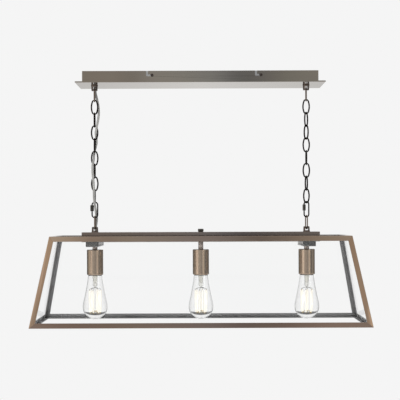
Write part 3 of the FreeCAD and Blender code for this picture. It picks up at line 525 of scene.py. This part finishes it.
def plastic(name, a, b, rough=0.45, scale=120.0, ior_level=0.5, bumps=0.08):
    m, nt, p = material(name)
    vec = coords(nt)
    n1 = noise(nt, vec, scale, 3)
    n2 = noise(nt, vec, scale * 9, 2)
    nt.links.new(ramp(nt, n1, [(0.35, a), (0.65, b)]), p.inputs["Base Color"])
    nt.links.new(spread(nt, n2, rough - 0.06, rough + 0.06), p.inputs["Roughness"])
    nt.links.new(bump(nt, n2, bumps, 0.0002), p.inputs["Normal"])
    p.inputs["Specular IOR Level"].default_value = ior_level
    return m, nt, p


M["insulator"] = plastic("black_insulator", (0.012, 0.012, 0.012), (0.022, 0.021, 0.02), rough=0.32)[0]
M["rubber"] = plastic("grey_rubber", (0.07, 0.07, 0.068), (0.10, 0.10, 0.097), rough=0.6)[0]
M["terminal"] = plastic("terminal_nylon", (0.72, 0.72, 0.68), (0.80, 0.80, 0.76), rough=0.42)[0]
M["cable"], _nt, _p = plastic("cable_grey_clear", (0.50, 0.50, 0.485), (0.62, 0.62, 0.60), rough=0.25, scale=60)
_p.inputs["Transmission Weight"].default_value = 0.25
_p.inputs["Subsurface Weight"].default_value = 0.3
_p.inputs["Subsurface Radius"].default_value = (0.004, 0.004, 0.004)
_p.inputs["Coat Weight"].default_value = 0.4


def pane_glass(name, ior):
    m, nt, p = material(name)
    vec = coords(nt)
    n = noise(nt, vec, 6.0, 2)
    nt.links.new(ramp(nt, n, [(0.3, (0.997, 1.0, 0.999)), (0.7, (1.0, 1.0, 1.0))]), p.inputs["Base Color"])
    p.inputs["Roughness"].default_value = 0.0
    p.inputs["IOR"].default_value = ior
    p.inputs["Specular IOR Level"].default_value = 0.03
    p.inputs["Transmission Weight"].default_value = 1.0
    nt.links.new(bump(nt, noise(nt, vec, 25.0, 1), 0.01, 0.0004), p.inputs["Normal"])
    # light for the frame behind the pane comes straight through it
    lp = nt.nodes.new("ShaderNodeLightPath")
    clear = nt.nodes.new("ShaderNodeBsdfTransparent")
    surface = p.outputs[0]
    for ray in ("Is Diffuse Ray", "Is Shadow Ray"):
        both = nt.nodes.new("ShaderNodeMixShader")
        nt.links.new(lp.outputs[ray], both.inputs[0])
        nt.links.new(surface, both.inputs[1])
        nt.links.new(clear.outputs[0], both.inputs[2])
        surface = both.outputs[0]
    nt.links.new(surface, next(n for n in nt.nodes if n.type == "OUTPUT_MATERIAL").inputs[0])
    return m


def bulb_glass():
    m, nt, p = material("bulb_glass")
    vec = coords(nt)
    lw = nt.nodes.new("ShaderNodeLayerWeight")
    lw.inputs["Blend"].default_value = 0.25
    rim = ramp(nt, lw.outputs["Facing"], [(0.0, (1.0, 1.0, 1.0)), (0.7, (0.995, 0.997, 0.995)), (1.0, (0.90, 0.905, 0.905))])
    nt.links.new(rim, p.inputs["Base Color"])
    p.inputs["Roughness"].default_value = 0.0
    p.inputs["IOR"].default_value = 1.36
    p.inputs["Transmission Weight"].default_value = 1.0
    nt.links.new(bump(nt, noise(nt, vec, 60.0, 1), 0.03, 0.0004), p.inputs["Normal"])
    return m


M["pane"] = pane_glass("pane_glass", 1.16)
M["pane_end"] = pane_glass("pane_glass_end", 1.03)
M["bulb"] = bulb_glass()


def press_glass():
    m, nt, p = material("stem_glass")
    vec = coords(nt)
    n = noise(nt, vec, 140.0, 3)
    nt.links.new(ramp(nt, n, [(0.3, (0.95, 0.94, 0.895)), (0.7, (0.99, 0.985, 0.95))]), p.inputs["Base Color"])
    p.inputs["Roughness"].default_value = 0.08
    p.inputs["IOR"].default_value = 1.20
    p.inputs["Transmission Weight"].default_value = 0.94
    nt.links.new(bump(nt, n, 0.3, 0.0006), p.inputs["Normal"])
    return m


M["press"] = press_glass()


def phosphor():
    m, nt, p = material("filament_phosphor_painted_glow")
    vec = coords(nt)
    n = noise(nt, vec, 700.0, 2)
    col = ramp(nt, n, [(0.35, (0.92, 0.84, 0.62)), (0.65, (0.98, 0.93, 0.78))])
    nt.links.new(col, p.inputs["Base Color"])
    p.inputs["Roughness"].default_value = 0.55
    nt.links.new(bump(nt, n, 0.4, 0.0003), p.inputs["Normal"])
    # the coated filaments also glow faintly, which brightens them: painted light
    p.inputs["Emission Color"].default_value = (1.0, 0.975, 0.93, 1)
    p.inputs["Emission Strength"].default_value = 0.57
    return m


M["phosphor"] = phosphor()

# ---------------------------------------------------------------------------
# Supply cable, in four stretches cut at the pivots they pass
# ---------------------------------------------------------------------------
path = spline_points(CABLE_ROUTE)
path_frames = frames_along(path)
cuts = [-63.5, -190.0, -379.5]
marks = [0]
for c in cuts:
    marks.append(min(range(len(path)), key=lambda i: abs(path[i].z - c * MM)))
marks.append(len(path) - 1)
cable_bodies = [
    ("supply_cable_top", "ceiling_rose", "left_upper_loop", -35.0, -62.5),
    ("supply_cable_upper", "left_upper_loop", "left_chain", -64.5, -112.0),
    ("supply_cable_lower", "left_chain", "left_lower_loop", -352.0, -379.0),
    ("supply_cable_foot", "left_lower_loop", "lantern", -381.0, -409.0),
]
cable_pieces = []
for (name, a, b, z0, z1), i0, i1 in zip(cable_bodies, marks[:-1], marks[1:]):
    pts = path[i0 : i1 + 1]
    bm = bmesh.new()
    add_tube(bm, pts, CABLE_R * MM, seg=24, frames=path_frames[i0 : i1 + 1])
    ob = finish_mesh(name, bm, [M["cable"]], sharp=60)
    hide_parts("supply_cable")
    cable_pieces.append((ob, a, b, z0, z1))
for ob, a, b, z0, z1 in cable_pieces:
    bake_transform(ob)

# ---------------------------------------------------------------------------
# Chains
# ---------------------------------------------------------------------------
def quick_link(name, x, z_mid, turn, mats):
    """The open oval: a thread at each side of the gap that the sleeve nut closes."""
    r = QL_WIRE / 2
    a = QL_W / 2 - r
    h = QL_L / 2 - r - a
    gap_hi = 12.3 - 3.5
    gap_lo = gap_hi - 5.5
    pts, rad = [], []

    def put(px, pz, q=1.0):
        pts.append((px, pz))
        rad.append(r * q)

    # upper end of the gap, threaded, up the left limb
    z = gap_hi
    put(-a, z, 0.82)
    put(-a, z + 0.25, 0.93)
    k = 0
    while z + 0.6 < h - 0.3:
        z += 0.3
        put(-a, z, 1.0 if k % 2 else 0.93)
        k += 1
    arc = 24
    for k in range(arc + 1):
        t = math.pi - math.pi * k / arc
        put(a * math.cos(t), h + a * math.sin(t))
    for k in range(1, 8):
        put(a, h - 2 * h * k / 8)
    for k in range(arc + 1):
        t = -math.pi * k / arc
        put(a * math.cos(t), -h + a * math.sin(t))
    z = -h
    while z < gap_lo - 8.5:
        z = min(z + 1.5, gap_lo - 8.5)
        put(-a, z)
    k = 0
    while z < gap_lo - 0.3:
        z += 0.3
        put(-a, z, 0.94 if k % 2 else 1.0)
        k += 1
    put(-a, gap_lo, 0.82)
    c, s = math.cos(math.radians(turn)), math.sin(math.radians(turn))
    world = [Vector(((x + px * c) * MM, px * s * MM, (z_mid + pz) * MM)) for px, pz in pts]
    side = Vector((-s, c, 0))
    frames = []
    n = len(world)
    for i in range(n):
        t = (world[min(i + 1, n - 1)] - world[max(i - 1, 0)]).normalized()
        frames.append((t, side, t.cross(side)))
    bm = bmesh.new()
    add_tube(bm, world, [q * MM for q in rad], seg=18, frames=frames)
    return finish_mesh(name, bm, mats, sharp=40)


for side, sx in (("left", -1), ("right", 1)):
    x = sx * HANG_X
    up_turn, ql_turn, low_turn = LOOP_TURNS[side]
    ob = wire_link(side + "_upper_loop_wire", UPPER_LOOP[0] - UPPER_LOOP[1], LOOP_W, WIRE, x, sum(UPPER_LOOP) / 2, up_turn, [M["loop"]])
    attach(ob, side + "_upper_loop")
    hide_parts(side + "_upper_loop")
    for k, turn in enumerate(TURNS[side]):
        mid = FIRST_TOP - PITCH * k - LINK_L / 2
        # the joint of each link is on a different side, as it comes off the chain
        ob = wire_link("%s_chain_link_%d" % (side, k + 1), LINK_L, LINK_W, WIRE, x, mid, turn + (180 if k % 3 == 1 else 0), [M["chain"]], nose=LINK_NOSE)
        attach(ob, side + "_chain")
        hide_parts(side + "_chain_links")
    ob = quick_link(side + "_quick_link_body", x, QL_TOP - QL_L / 2, ql_turn, [M["chain"]])
    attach(ob, side + "_chain")
    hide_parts(side + "_quick_link")
    ob = wire_link(side + "_lower_loop_wire", LOWER_LOOP[0] - LOWER_LOOP[1], LOOP_W, WIRE, x, sum(LOWER_LOOP) / 2, low_turn, [M["loop"]])
    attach(ob, side + "_lower_loop")
    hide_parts(side + "_lower_loop")

# ---------------------------------------------------------------------------
# Lampholder cups
# ---------------------------------------------------------------------------
for name, x in LAMPS:
    cup_bot = CUP_TOP - CUP_H
    prof = [(STEM_R, CUP_TOP), (8.0, CUP_TOP), (8.4, CUP_TOP - 0.15), (CUP_R - 1.6, CUP_TOP - 0.15)]
    prof[1:3] = [(9.0, CUP_TOP)]
    for k in range(9):
        a = math.pi / 2 * (1 - k / 8)
        prof.append((CUP_R - 1.6 + 1.6 * math.cos(a), CUP_TOP - 1.6 + 1.6 * math.sin(a)))
    for k in range(1, 6):
        prof.append((CUP_R, CUP_TOP - 1.6 - (CUP_H - 4.6) * k / 6))
    for k in range(13):
        a = -math.pi / 2 * k / 12
        prof.append((CUP_R - 3.0 + 3.0 * math.cos(a), cup_bot + 3.0 + 3.0 * math.sin(a)))
    prof += [(CUP_R - 3.2, cup_bot), (CUP_R - 3.2, cup_bot + 1.0), (CUP_R - CUP_T, cup_bot + 3.2), (CUP_R - CUP_T, CUP_TOP - CUP_T), (STEM_R, CUP_TOP - CUP_T)]
    bm = bmesh.new()
    add_lathe(bm, prof, x, seg=128, closed=True)
    ob = finish_mesh("cup_%s_shell" % name, bm, [M["cup"]], sharp=40)
    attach(ob, "lantern")
    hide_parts("lampholder_cup_" + name)

# ---------------------------------------------------------------------------
# Bulbs
# ---------------------------------------------------------------------------
BULB_OUT = [
    (0.0, 0.0),
    (8.0, 1.0),
    (15.5, 4.0),
    (22.5, 9.2),
    (28.2, 16.4),
    (31.3, 24.6),
    (32.0, 32.0),
    (31.3, 40.5),
    (28.6, 53.0),
    (25.6, 67.0),
    (22.8, 81.0),
    (20.5, 94.0),
    (19.0, 105.0),
    (18.0, 113.0),
]


def smooth_curve(pts, per=7):
    """A centripetal curve through the points."""
    P = [Vector((p[0], p[1])) for p in pts]
    P = [Vector((-P[1].x, P[1].y))] + P + [P[-1] + (P[-1] - P[-2])]
    out = []
    for i in range(1, len(P) - 2):
        p0, p1, p2, p3 = P[i - 1], P[i], P[i + 1], P[i + 2]
        t0 = 0.0
        t1 = t0 + (p1 - p0).length ** 0.5
        t2 = t1 + (p2 - p1).length ** 0.5
        t3 = t2 + (p3 - p2).length ** 0.5
        for k in range(per):
            t = t1 + (t2 - t1) * k / per
            a1 = p0 * ((t1 - t) / (t1 - t0)) + p1 * ((t - t0) / (t1 - t0))
            a2 = p1 * ((t2 - t) / (t2 - t1)) + p2 * ((t - t1) / (t2 - t1))
            a3 = p2 * ((t3 - t) / (t3 - t2)) + p3 * ((t - t2) / (t3 - t2))
            b1 = a1 * ((t2 - t) / (t2 - t0)) + a2 * ((t - t0) / (t2 - t0))
            b2 = a2 * ((t3 - t) / (t3 - t1)) + a3 * ((t - t1) / (t3 - t1))
            out.append(b1 * ((t2 - t) / (t2 - t1)) + b2 * ((t - t1) / (t2 - t1)))
    out.append(P[-2])
    return out


def arc_tube(bm, pts, r, seg=10, mat=0, steps=6):
    """A smooth wire through a few points in mm."""
    P = [Vector(p) * MM for p in pts]
    if len(P) > 2:
        ext = [P[0] * 2 - P[1]] + P + [P[-1] * 2 - P[-2]]
        line = []
        for i in range(1, len(ext) - 2):
            p0, p1, p2, p3 = ext[i - 1 : i + 3]
            for k in range(steps):
                t = k / steps
                line.append(
                    0.5 * ((2 * p1) + (p2 - p0) * t + (2 * p0 - 5 * p1 + 4 * p2 - p3) * t * t + (3 * p1 - p0 - 3 * p2 + p3) * t**3)
                )
        line.append(P[-1])
    else:
        line = P
    add_tube(bm, line, r * MM, seg=seg, mat=mat)


outline = smooth_curve(BULB_OUT)
outline[0] = Vector((0, 0))
for lamp, x in LAMPS:
    outer = [(max(p.x, 0.0), BULB_TIP + p.y) for p in outline]
    inner = []
    for i, p in enumerate(outline):
        # blown glass: a little thicker at the dome, thickest at the sealed tip
        wall = 0.8 + 0.7 * math.exp(-((p.y / 12.0) ** 2)) + 1.5 * math.exp(-((p.x / 3.5) ** 2)) * (p.y < 4.0)
        q0, q1 = outline[max(i - 1, 0)], outline[min(i + 1, len(outline) - 1)]
        d = (q1 - q0).normalized()
        n = Vector((-d.y, d.x))
        q = p + n * wall
        inner.append((max(q.x, 0.0) if i else 0.0, BULB_TIP + (q.y if i else wall)))
    neck = [(16.6, CAP_Z0 + 0.55), (15.2, CAP_Z0 + 1.1), (13.4, CAP_Z0 + 2.1), (12.2, CAP_Z0 + 2.4), (12.2, CAP_Z0 + 1.4), (14.6, CAP_Z0 + 0.1)]
    prof = outer + neck + inner[::-1]
    bm = bmesh.new()
    add_lathe(bm, prof, x, seg=112)
    ob = finish_mesh("bulb_envelope_" + lamp, bm, [M["bulb"]], sharp=50)
    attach(ob, "bulb_glass_" + lamp)
    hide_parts("bulb_glass_" + lamp)

    # screw cap with a rolled round thread, insulator and contact
    def thread(r, z, a, i):
        if r < 12.0 or z > CAP_Z0 + 20.2 or z < CAP_Z0 + 4.6:
            return r, z
        ph = (z - CAP_Z0) / 3.6 - a / (2 * math.pi)
        return 12.45 + 0.62 * math.cos(2 * math.pi * ph), z

    prof = [(13.55, CAP_Z0 + 2.5), (13.6, CAP_Z0 + 3.4), (13.3, CAP_Z0 + 4.2), (12.5, CAP_Z0 + 4.6)]
    z = CAP_Z0 + 4.8
    while z < CAP_Z0 + 20.0:
        prof.append((12.4, z))
        z += 0.36
    prof += [(11.8, CAP_Z0 + 20.6), (11.0, CAP_Z0 + 21.3)]
    bm = bmesh.new()
    add_lathe(bm, prof + [(10.6, CAP_Z0 + 21.3), (10.6, CAP_Z0 + 20.0), (11.3, CAP_Z0 + 19.6), (11.3, CAP_Z0 + 2.5)], x, seg=72, closed=True, warp=thread)
    add_lathe(bm, [(10.9, CAP_Z0 + 21.2), (9.0, CAP_Z0 + 22.6), (7.0, CAP_Z0 + 23.4), (5.0, CAP_Z0 + 23.8), (0, CAP_Z0 + 23.8)], x, seg=48, mat=1)
    add_lathe(bm, [(4.7, CAP_Z0 + 23.7), (4.6, CAP_Z0 + 24.4), (3.6, CAP_Z0 + 24.9), (0, CAP_Z0 + 25.0)], x, seg=40)
    ob = finish_mesh("bulb_screw_cap_" + lamp, bm, [M["brass"], M["insulator"]], sharp=45)
    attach(ob, "bulb_cap_" + lamp)
    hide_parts("bulb_cap_" + lamp)

    # flare and press: one hollow glass tube, pressed flat at its lower end
    bm = bmesh.new()

    def pinch(r, z, a, i):
        s = max(0.0, min(1.0, (CAP_Z0 - 15.0 - z) / 10.0))
        return r * (1 - s * 0.40 * abs(math.sin(a))), z

    flare = [
        (10.8, CAP_Z0 + 1.3), (10.3, CAP_Z0 + 0.3), (8.4, CAP_Z0 - 2.0), (6.9, CAP_Z0 - 5.4), (6.1, CAP_Z0 - 10.0),
        (5.8, CAP_Z0 - 18.0), (5.7, CAP_Z0 - 25.0), (5.3, CAP_Z0 - 27.6), (4.0, CAP_Z0 - 29.3), (2.0, CAP_Z0 - 30.0), (0, CAP_Z0 - 30.1),
        (0, CAP_Z0 - 21.0), (2.6, CAP_Z0 - 20.2), (4.2, CAP_Z0 - 17.5), (4.7, CAP_Z0 - 10.0), (5.6, CAP_Z0 - 5.4), (7.3, CAP_Z0 - 1.6), (9.6, CAP_Z0 + 1.3),
    ]
    add_lathe(bm, flare, x, seg=64, closed=True, warp=pinch)
    rod_top, rod_low = CAP_Z0 - 30.4, BULB_TIP + 17.0
    bead_t, bead_b = rod_top - 2.0, rod_low + 2.2
    rod = [(0, rod_top), (0.7, rod_top - 0.05), (0.95, rod_top - 0.3)]
    for zc, rb in ((bead_t, 1.9), (bead_b, 1.8)):
        for k in range(9):
            a = math.pi / 2 - math.pi * k / 8
            rod.append((0.95 + (rb - 0.95) * math.cos(a), zc + 1.4 * math.sin(a)))
    rod += [(0.8, rod_low + 0.1), (0, rod_low)]
    add_lathe(bm, rod, x, seg=24)
    ob = finish_mesh("bulb_stem_" + lamp, bm, [M["press"]], sharp=60)
    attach(ob, "bulb_glass_" + lamp)
    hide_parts("bulb_filament_" + lamp)

    # six filaments round the rod, on wire spiders, and the two lead wires
    bm = bmesh.new()
    top_z, bot_z = CAP_Z0 - 38.0, BULB_TIP + 15.5
    for k in range(6):
        a = 2 * math.pi * (k + 0.25) / 6
        ca, sa = math.cos(a), math.sin(a)
        tx, ty = 15.0 * ca, 15.0 * sa
        bx, by = 13.6 * ca, 13.6 * sa
        arc_tube(
            bm,
            [(x + 1.2 * ca, 1.2 * sa, bead_t), (x + 4.6 * ca, 4.6 * sa, bead_t - 0.4), (x + 10.2 * ca, 10.2 * sa, top_z + 3.6), (x + 14.4 * ca, 14.4 * sa, top_z + 1.8), (x + tx, ty, top_z - 0.6)],
            0.42,
            mat=0,
        )
        arc_tube(
            bm,
            [(x + 1.1 * ca, 1.1 * sa, bead_b), (x + 3.6 * ca, 3.6 * sa, bead_b + 2.4), (x + 7.6 * ca, 7.6 * sa, bead_b + 0.4), (x + 12.0 * ca, 12.0 * sa, bot_z - 1.6), (x + bx, by, bot_z + 0.6)],
            0.42,
            mat=1,
        )
        # clamp at each end, then the coated filament itself
        for (px, py, z0, z1) in ((tx, ty, top_z, top_z - 2.6), (bx, by, bot_z, bot_z + 2.6)):
            add_tube(bm, [Vector(((x + px) * MM, py * MM, z0 * MM)), Vector(((x + px) * MM, py * MM, z1 * MM))], 0.62 * MM, seg=10, mat=1)
        steps = 30
        line, rad = [], []
        for q in range(steps + 1):
            f = q / steps
            line.append(Vector(((x + tx + (bx - tx) * f) * MM, (ty + (by - ty) * f) * MM, (top_z - 1.8 + (bot_z - top_z + 3.6) * f) * MM)))
            rad.append((0.9 if q in (0, steps) else 1.85) * MM)
        add_tube(bm, line, rad, seg=14, mat=2)
    for s in (-1, 1):
        arc_tube(bm, [(x + s * 2.6, 0, CAP_Z0 - 2.0), (x + s * 2.4, 0, CAP_Z0 - 14.0), (x + s * 2.1, 0, CAP_Z0 - 27.0), (x + s * 1.6, 0, rod_top), (x + s * 1.2, 0, bead_t + 0.4)], 0.28, mat=0)
    ob = finish_mesh("bulb_filaments_" + lamp, bm, [M["nickel"], M["gold"], M["phosphor"]], sharp=50)
    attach(ob, "bulb_glass_" + lamp)
    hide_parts("bulb_filament_" + lamp)

# ---------------------------------------------------------------------------
# CAD parts that keep their shape: finish and softened edges
# ---------------------------------------------------------------------------
def dress(node, mat, bevel=0.3, angle=30.0, segments=2):
    ob = nodes[node]
    ob.data.materials.clear()
    ob.data.materials.append(mat)
    w = ob.modifiers.new("weld", "WELD")
    w.merge_threshold = 2e-6
    if bevel:
        b = ob.modifiers.new("bevel", "BEVEL")
        b.width = bevel * MM
        b.segments = segments
        b.limit_method = "ANGLE"
        b.angle_limit = math.radians(angle)
        b.use_clamp_overlap = True
        b.harden_normals = False
        b.miter_outer = "MITER_ARC"


GRAIN = {
    "top_rail_front": "x", "top_rail_back": "x", "bottom_rail_front": "x", "bottom_rail_back": "x",
    "top_rail_left": "y", "top_rail_right": "y", "bottom_rail_left": "y", "bottom_rail_right": "y",
    "post_front_left": "z", "post_front_right": "z", "post_back_left": "z", "post_back_right": "z",
}
# bottom rails get the darker bronze copy (painted shade), top rails the lighter copy (painted light)
for n, g in GRAIN.items():
    dress(n, M[("low_" if n.startswith("bottom") else "top_" if n.startswith("top") else "frame_") + g], 0.35)
dress("canopy_box", M["canopy"], 0.25)
dress("canopy_plate", M["canopy"], 0.2)
dress("centre_channel", M["channel"], 0.25)
dress("channel_base_plate", M["channel"], 0.2)
dress("cross_straps", M["strap"], 0.3)
dress("glass_clips", M["clip"], 0.15)
dress("clip_screws", M["zinc"], 0.08)
dress("ceiling_bracket", M["zinc"], 0.25)
dress("bracket_side_screws", M["pin"], 0.08)
dress("terminal_block", M["terminal"], 0.15)
dress("upper_hooks", M["hardware"], 0.12)
dress("lower_hooks", M["hardware"], 0.12)
dress("upper_hook_pins", M["pin"], 0.08)
dress("lower_hook_pins", M["pin"], 0.08)
dress("upper_hook_nuts", M["zinc"], 0.12)
dress("channel_nuts", M["zinc"], 0.12)
dress("canopy_grommet", M["rubber"], 0.12)
dress("channel_grommet", M["rubber"], 0.12)
dress("left_quick_link_nut", M["sleeve"], 0.12)
dress("right_quick_link_nut", M["sleeve"], 0.12)
dress("thumb_nut", M["thumb"], 0.0)
dress("lamp_stems", M["stem"], 0.12)
dress("lampholder_insulators", M["insulator"], 0.12)
for n in ("glass_front", "glass_back"):
    dress(n, M["pane"], 0.0)
for n in ("glass_left", "glass_right"):
    dress(n, M["pane_end"], 0.0)

# ---------------------------------------------------------------------------
# Stage: pale floor, soft surrounding light
# ---------------------------------------------------------------------------
PALE = 0.913
world = bpy.data.worlds.new("studio")
scene.world = world
world.use_nodes = True
bg = next(n for n in world.node_tree.nodes if n.type == "BACKGROUND")
bg.inputs["Color"].default_value = (1, 1, 1, 1)
bg.inputs["Strength"].default_value = PALE

bm = bmesh.new()
bmesh.ops.create_circle(bm, cap_ends=True, radius=5.4, segments=128)
floor = finish_mesh("floor", bm, [], smooth=False)
floor.location = (0, 0, -2.4)
# the paper floor fades into the backdrop towards its rim, so it has no hard edge
fm, fnt, fp = material("floor_pale")
fp.inputs["Base Color"].default_value = (0.93, 0.93, 0.925, 1)
fp.inputs["Roughness"].default_value = 0.9
fout = next(n for n in fnt.nodes if n.type == "OUTPUT_MATERIAL")
ftc = fnt.nodes.new("ShaderNodeTexCoord")
flen = fnt.nodes.new("ShaderNodeVectorMath")
flen.operation = "LENGTH"
fnt.links.new(ftc.outputs["Object"], flen.inputs[0])
fade = spread(fnt, flen.outputs["Value"], 0.0, 1.0, 1.2, 4.6)
sweep = fnt.nodes.new("ShaderNodeEmission")
sweep.inputs["Color"].default_value = (1, 1, 1, 1)
sweep.inputs["Strength"].default_value = PALE
fmix = fnt.nodes.new("ShaderNodeMixShader")
fnt.links.new(fade, fmix.inputs[0])
fnt.links.new(fp.outputs[0], fmix.inputs[1])
fnt.links.new(sweep.outputs[0], fmix.inputs[2])
fnt.links.new(fmix.outputs[0], fout.inputs[0])
floor.data.materials.append(fm)

# a tent of white and grey cloth round the object: it lights it and shows in
# its metal, and the camera sees through it to the plain backdrop
bm = bmesh.new()
bmesh.ops.create_uvsphere(bm, u_segments=96, v_segments=48, radius=6.0)
tent = finish_mesh("light_tent", bm, [])
tm = bpy.data.materials.new("tent_light")
tm.use_nodes = True
tnt = tm.node_tree
tnt.nodes.clear()
tout = tnt.nodes.new("ShaderNodeOutputMaterial")
emi = tnt.nodes.new("ShaderNodeEmission")
tnt.links.new(emi.outputs[0], tout.inputs[0])
tc = tnt.nodes.new("ShaderNodeTexCoord")
sep = tnt.nodes.new("ShaderNodeSeparateXYZ")
tnt.links.new(tc.outputs["Object"], sep.inputs[0])
back = math_node(tnt, "MULTIPLY", sep.outputs["Y"], -1.0)
turn = math_node(tnt, "ARCTAN2", sep.outputs["X"], back)
part = math_node(tnt, "ADD", math_node(tnt, "DIVIDE", turn, 2.0 * math.pi), 0.5)
WARM, COOL, EVEN = (1.05, 1.0, 0.95), (0.94, 1.0, 1.10), (1.0, 1.0, 1.0)
# brightness and tint of the cloth by bearing: level with the light, a little above it, and higher
TENT_LOW = [
    (-180, 0.88, EVEN), (-150, 0.45, EVEN), (-128, 0.22, EVEN), (-97, 0.42, WARM), (-74, 0.62, WARM), (-57, 1.20, WARM), (-45, 0.94, WARM), (-33, 0.66, EVEN),
    (-24, 0.48, EVEN), (-14, 0.58, EVEN), (-9.5, 0.44, WARM), (-7.0, 0.50, WARM), (-5.4, 0.33, WARM), (-4.0, 0.58, EVEN), (-1.5, 0.54, EVEN), (1.4, 0.51, COOL),
    (2.7, 0.25, COOL), (4.2, 0.26, COOL), (6.0, 0.37, EVEN), (9.0, 0.44, EVEN), (14, 0.48, EVEN), (22, 0.50, EVEN), (33, 0.80, WARM), (46, 0.58, EVEN),
    (62, 0.25, EVEN), (80, 0.32, COOL), (95, 0.44, EVEN), (112, 0.24, EVEN), (128, 0.20, EVEN), (150, 0.50, EVEN), (180, 0.88, EVEN),
]
TENT_MID = [
    (-180, 0.80, EVEN), (-120, 0.45, EVEN), (-40, 0.60, EVEN), (-14.5, 0.50, WARM), (-12, 0.40, WARM), (-10.5, 0.39, WARM), (-8.2, 0.34, WARM), (-6.0, 0.44, EVEN), (-1.0, 0.41, COOL),
    (1.8, 0.42, COOL), (3.4, 0.31, EVEN), (5.6, 0.29, EVEN), (8.0, 0.42, WARM), (10.0, 0.56, WARM), (12.2, 0.66, WARM), (14.5, 0.44, EVEN), (60, 0.50, EVEN),
    (120, 0.45, EVEN), (180, 0.80, EVEN),
]
TENT_HIGH = [
    (-180, 0.80, EVEN), (-120, 0.45, EVEN), (-60, 0.80, EVEN), (-24, 0.80, WARM), (-14.5, 0.74, WARM), (-11.5, 0.56, WARM), (-8.5, 0.27, WARM), (-6.4, 0.42, EVEN),
    (-2.5, 0.36, COOL), (1.5, 0.38, COOL), (4.0, 0.21, EVEN), (6.0, 0.19, EVEN), (8.0, 0.30, WARM), (10.7, 0.38, WARM), (12.4, 0.44, WARM), (15.0, 0.54, WARM), (24, 0.50, WARM),
    (60, 0.50, EVEN), (120, 0.45, EVEN), (180, 0.80, EVEN),
]


def cloth(table):
    return ramp(tnt, part, [((a + 180) / 360, tuple(min(1.0, v * t / 1.5) for t in tint)) for a, v, tint in table])


up = math_node(tnt, "DIVIDE", sep.outputs["Z"], 6.0)
wall = mix(tnt, spread(tnt, up, 0.0, 1.0, 0.14, 0.165), cloth(TENT_LOW), cloth(TENT_MID))
wall = mix(tnt, spread(tnt, up, 0.0, 1.0, 0.19, 0.24), wall, cloth(TENT_HIGH))
crown = spread(tnt, up, 0.0, 1.0, 0.55, 0.95)
low = spread(tnt, up, 1.0, 0.0, -0.75, -0.25)
lit = mix(tnt, crown, wall, (0.50, 0.50, 0.50))
lit = mix(tnt, low, lit, (0.46, 0.46, 0.46))
# what is only seen through clear panes is the plain backdrop itself
lp = tnt.nodes.new("ShaderNodeLightPath")
bounced = math_node(tnt, "ADD", lp.outputs["Glossy Depth"], lp.outputs["Diffuse Depth"])
bounced = math_node(tnt, "ADD", bounced, math_node(tnt, "GREATER_THAN", lp.outputs["Transmission Depth"], 14.0))
bounced = math_node(tnt, "MINIMUM", bounced, 1.0)
lit = mix(tnt, bounced, (PALE / 1.5, PALE / 1.5, PALE / 1.5), lit)
tnt.links.new(lit, emi.inputs["Color"])
emi.inputs["Strength"].default_value = 1.5
tent.data.materials.append(tm)
tm.cycles.emission_sampling = "NONE"
tent.visible_camera = False
tent.visible_shadow = False


def area(name, loc, target, size, power):
    d = bpy.data.lights.new(name, "AREA")
    d.shape = "RECTANGLE"
    d.size, d.size_y = size
    d.energy = power
    o = bpy.data.objects.new(name, d)
    scene.collection.objects.link(o)
    o.location = loc
    o.rotation_euler = (Vector(target) - Vector(loc)).to_track_quat("-Z", "Y").to_euler()
    o.visible_camera = False
    o.visible_glossy = False
    return o


area("key_left", (-2.2, -2.6, 1.3), (0, 0, -0.35), (1.4, 1.4), 26.0)
area("fill_right", (2.4, -2.0, 0.6), (0, 0, -0.4), (1.2, 1.6), 14.0)

scene.view_settings.view_transform = "Standard"
scene.view_settings.look = "None"
scene.view_settings.exposure = 0.0
scene.view_settings.gamma = 1.0
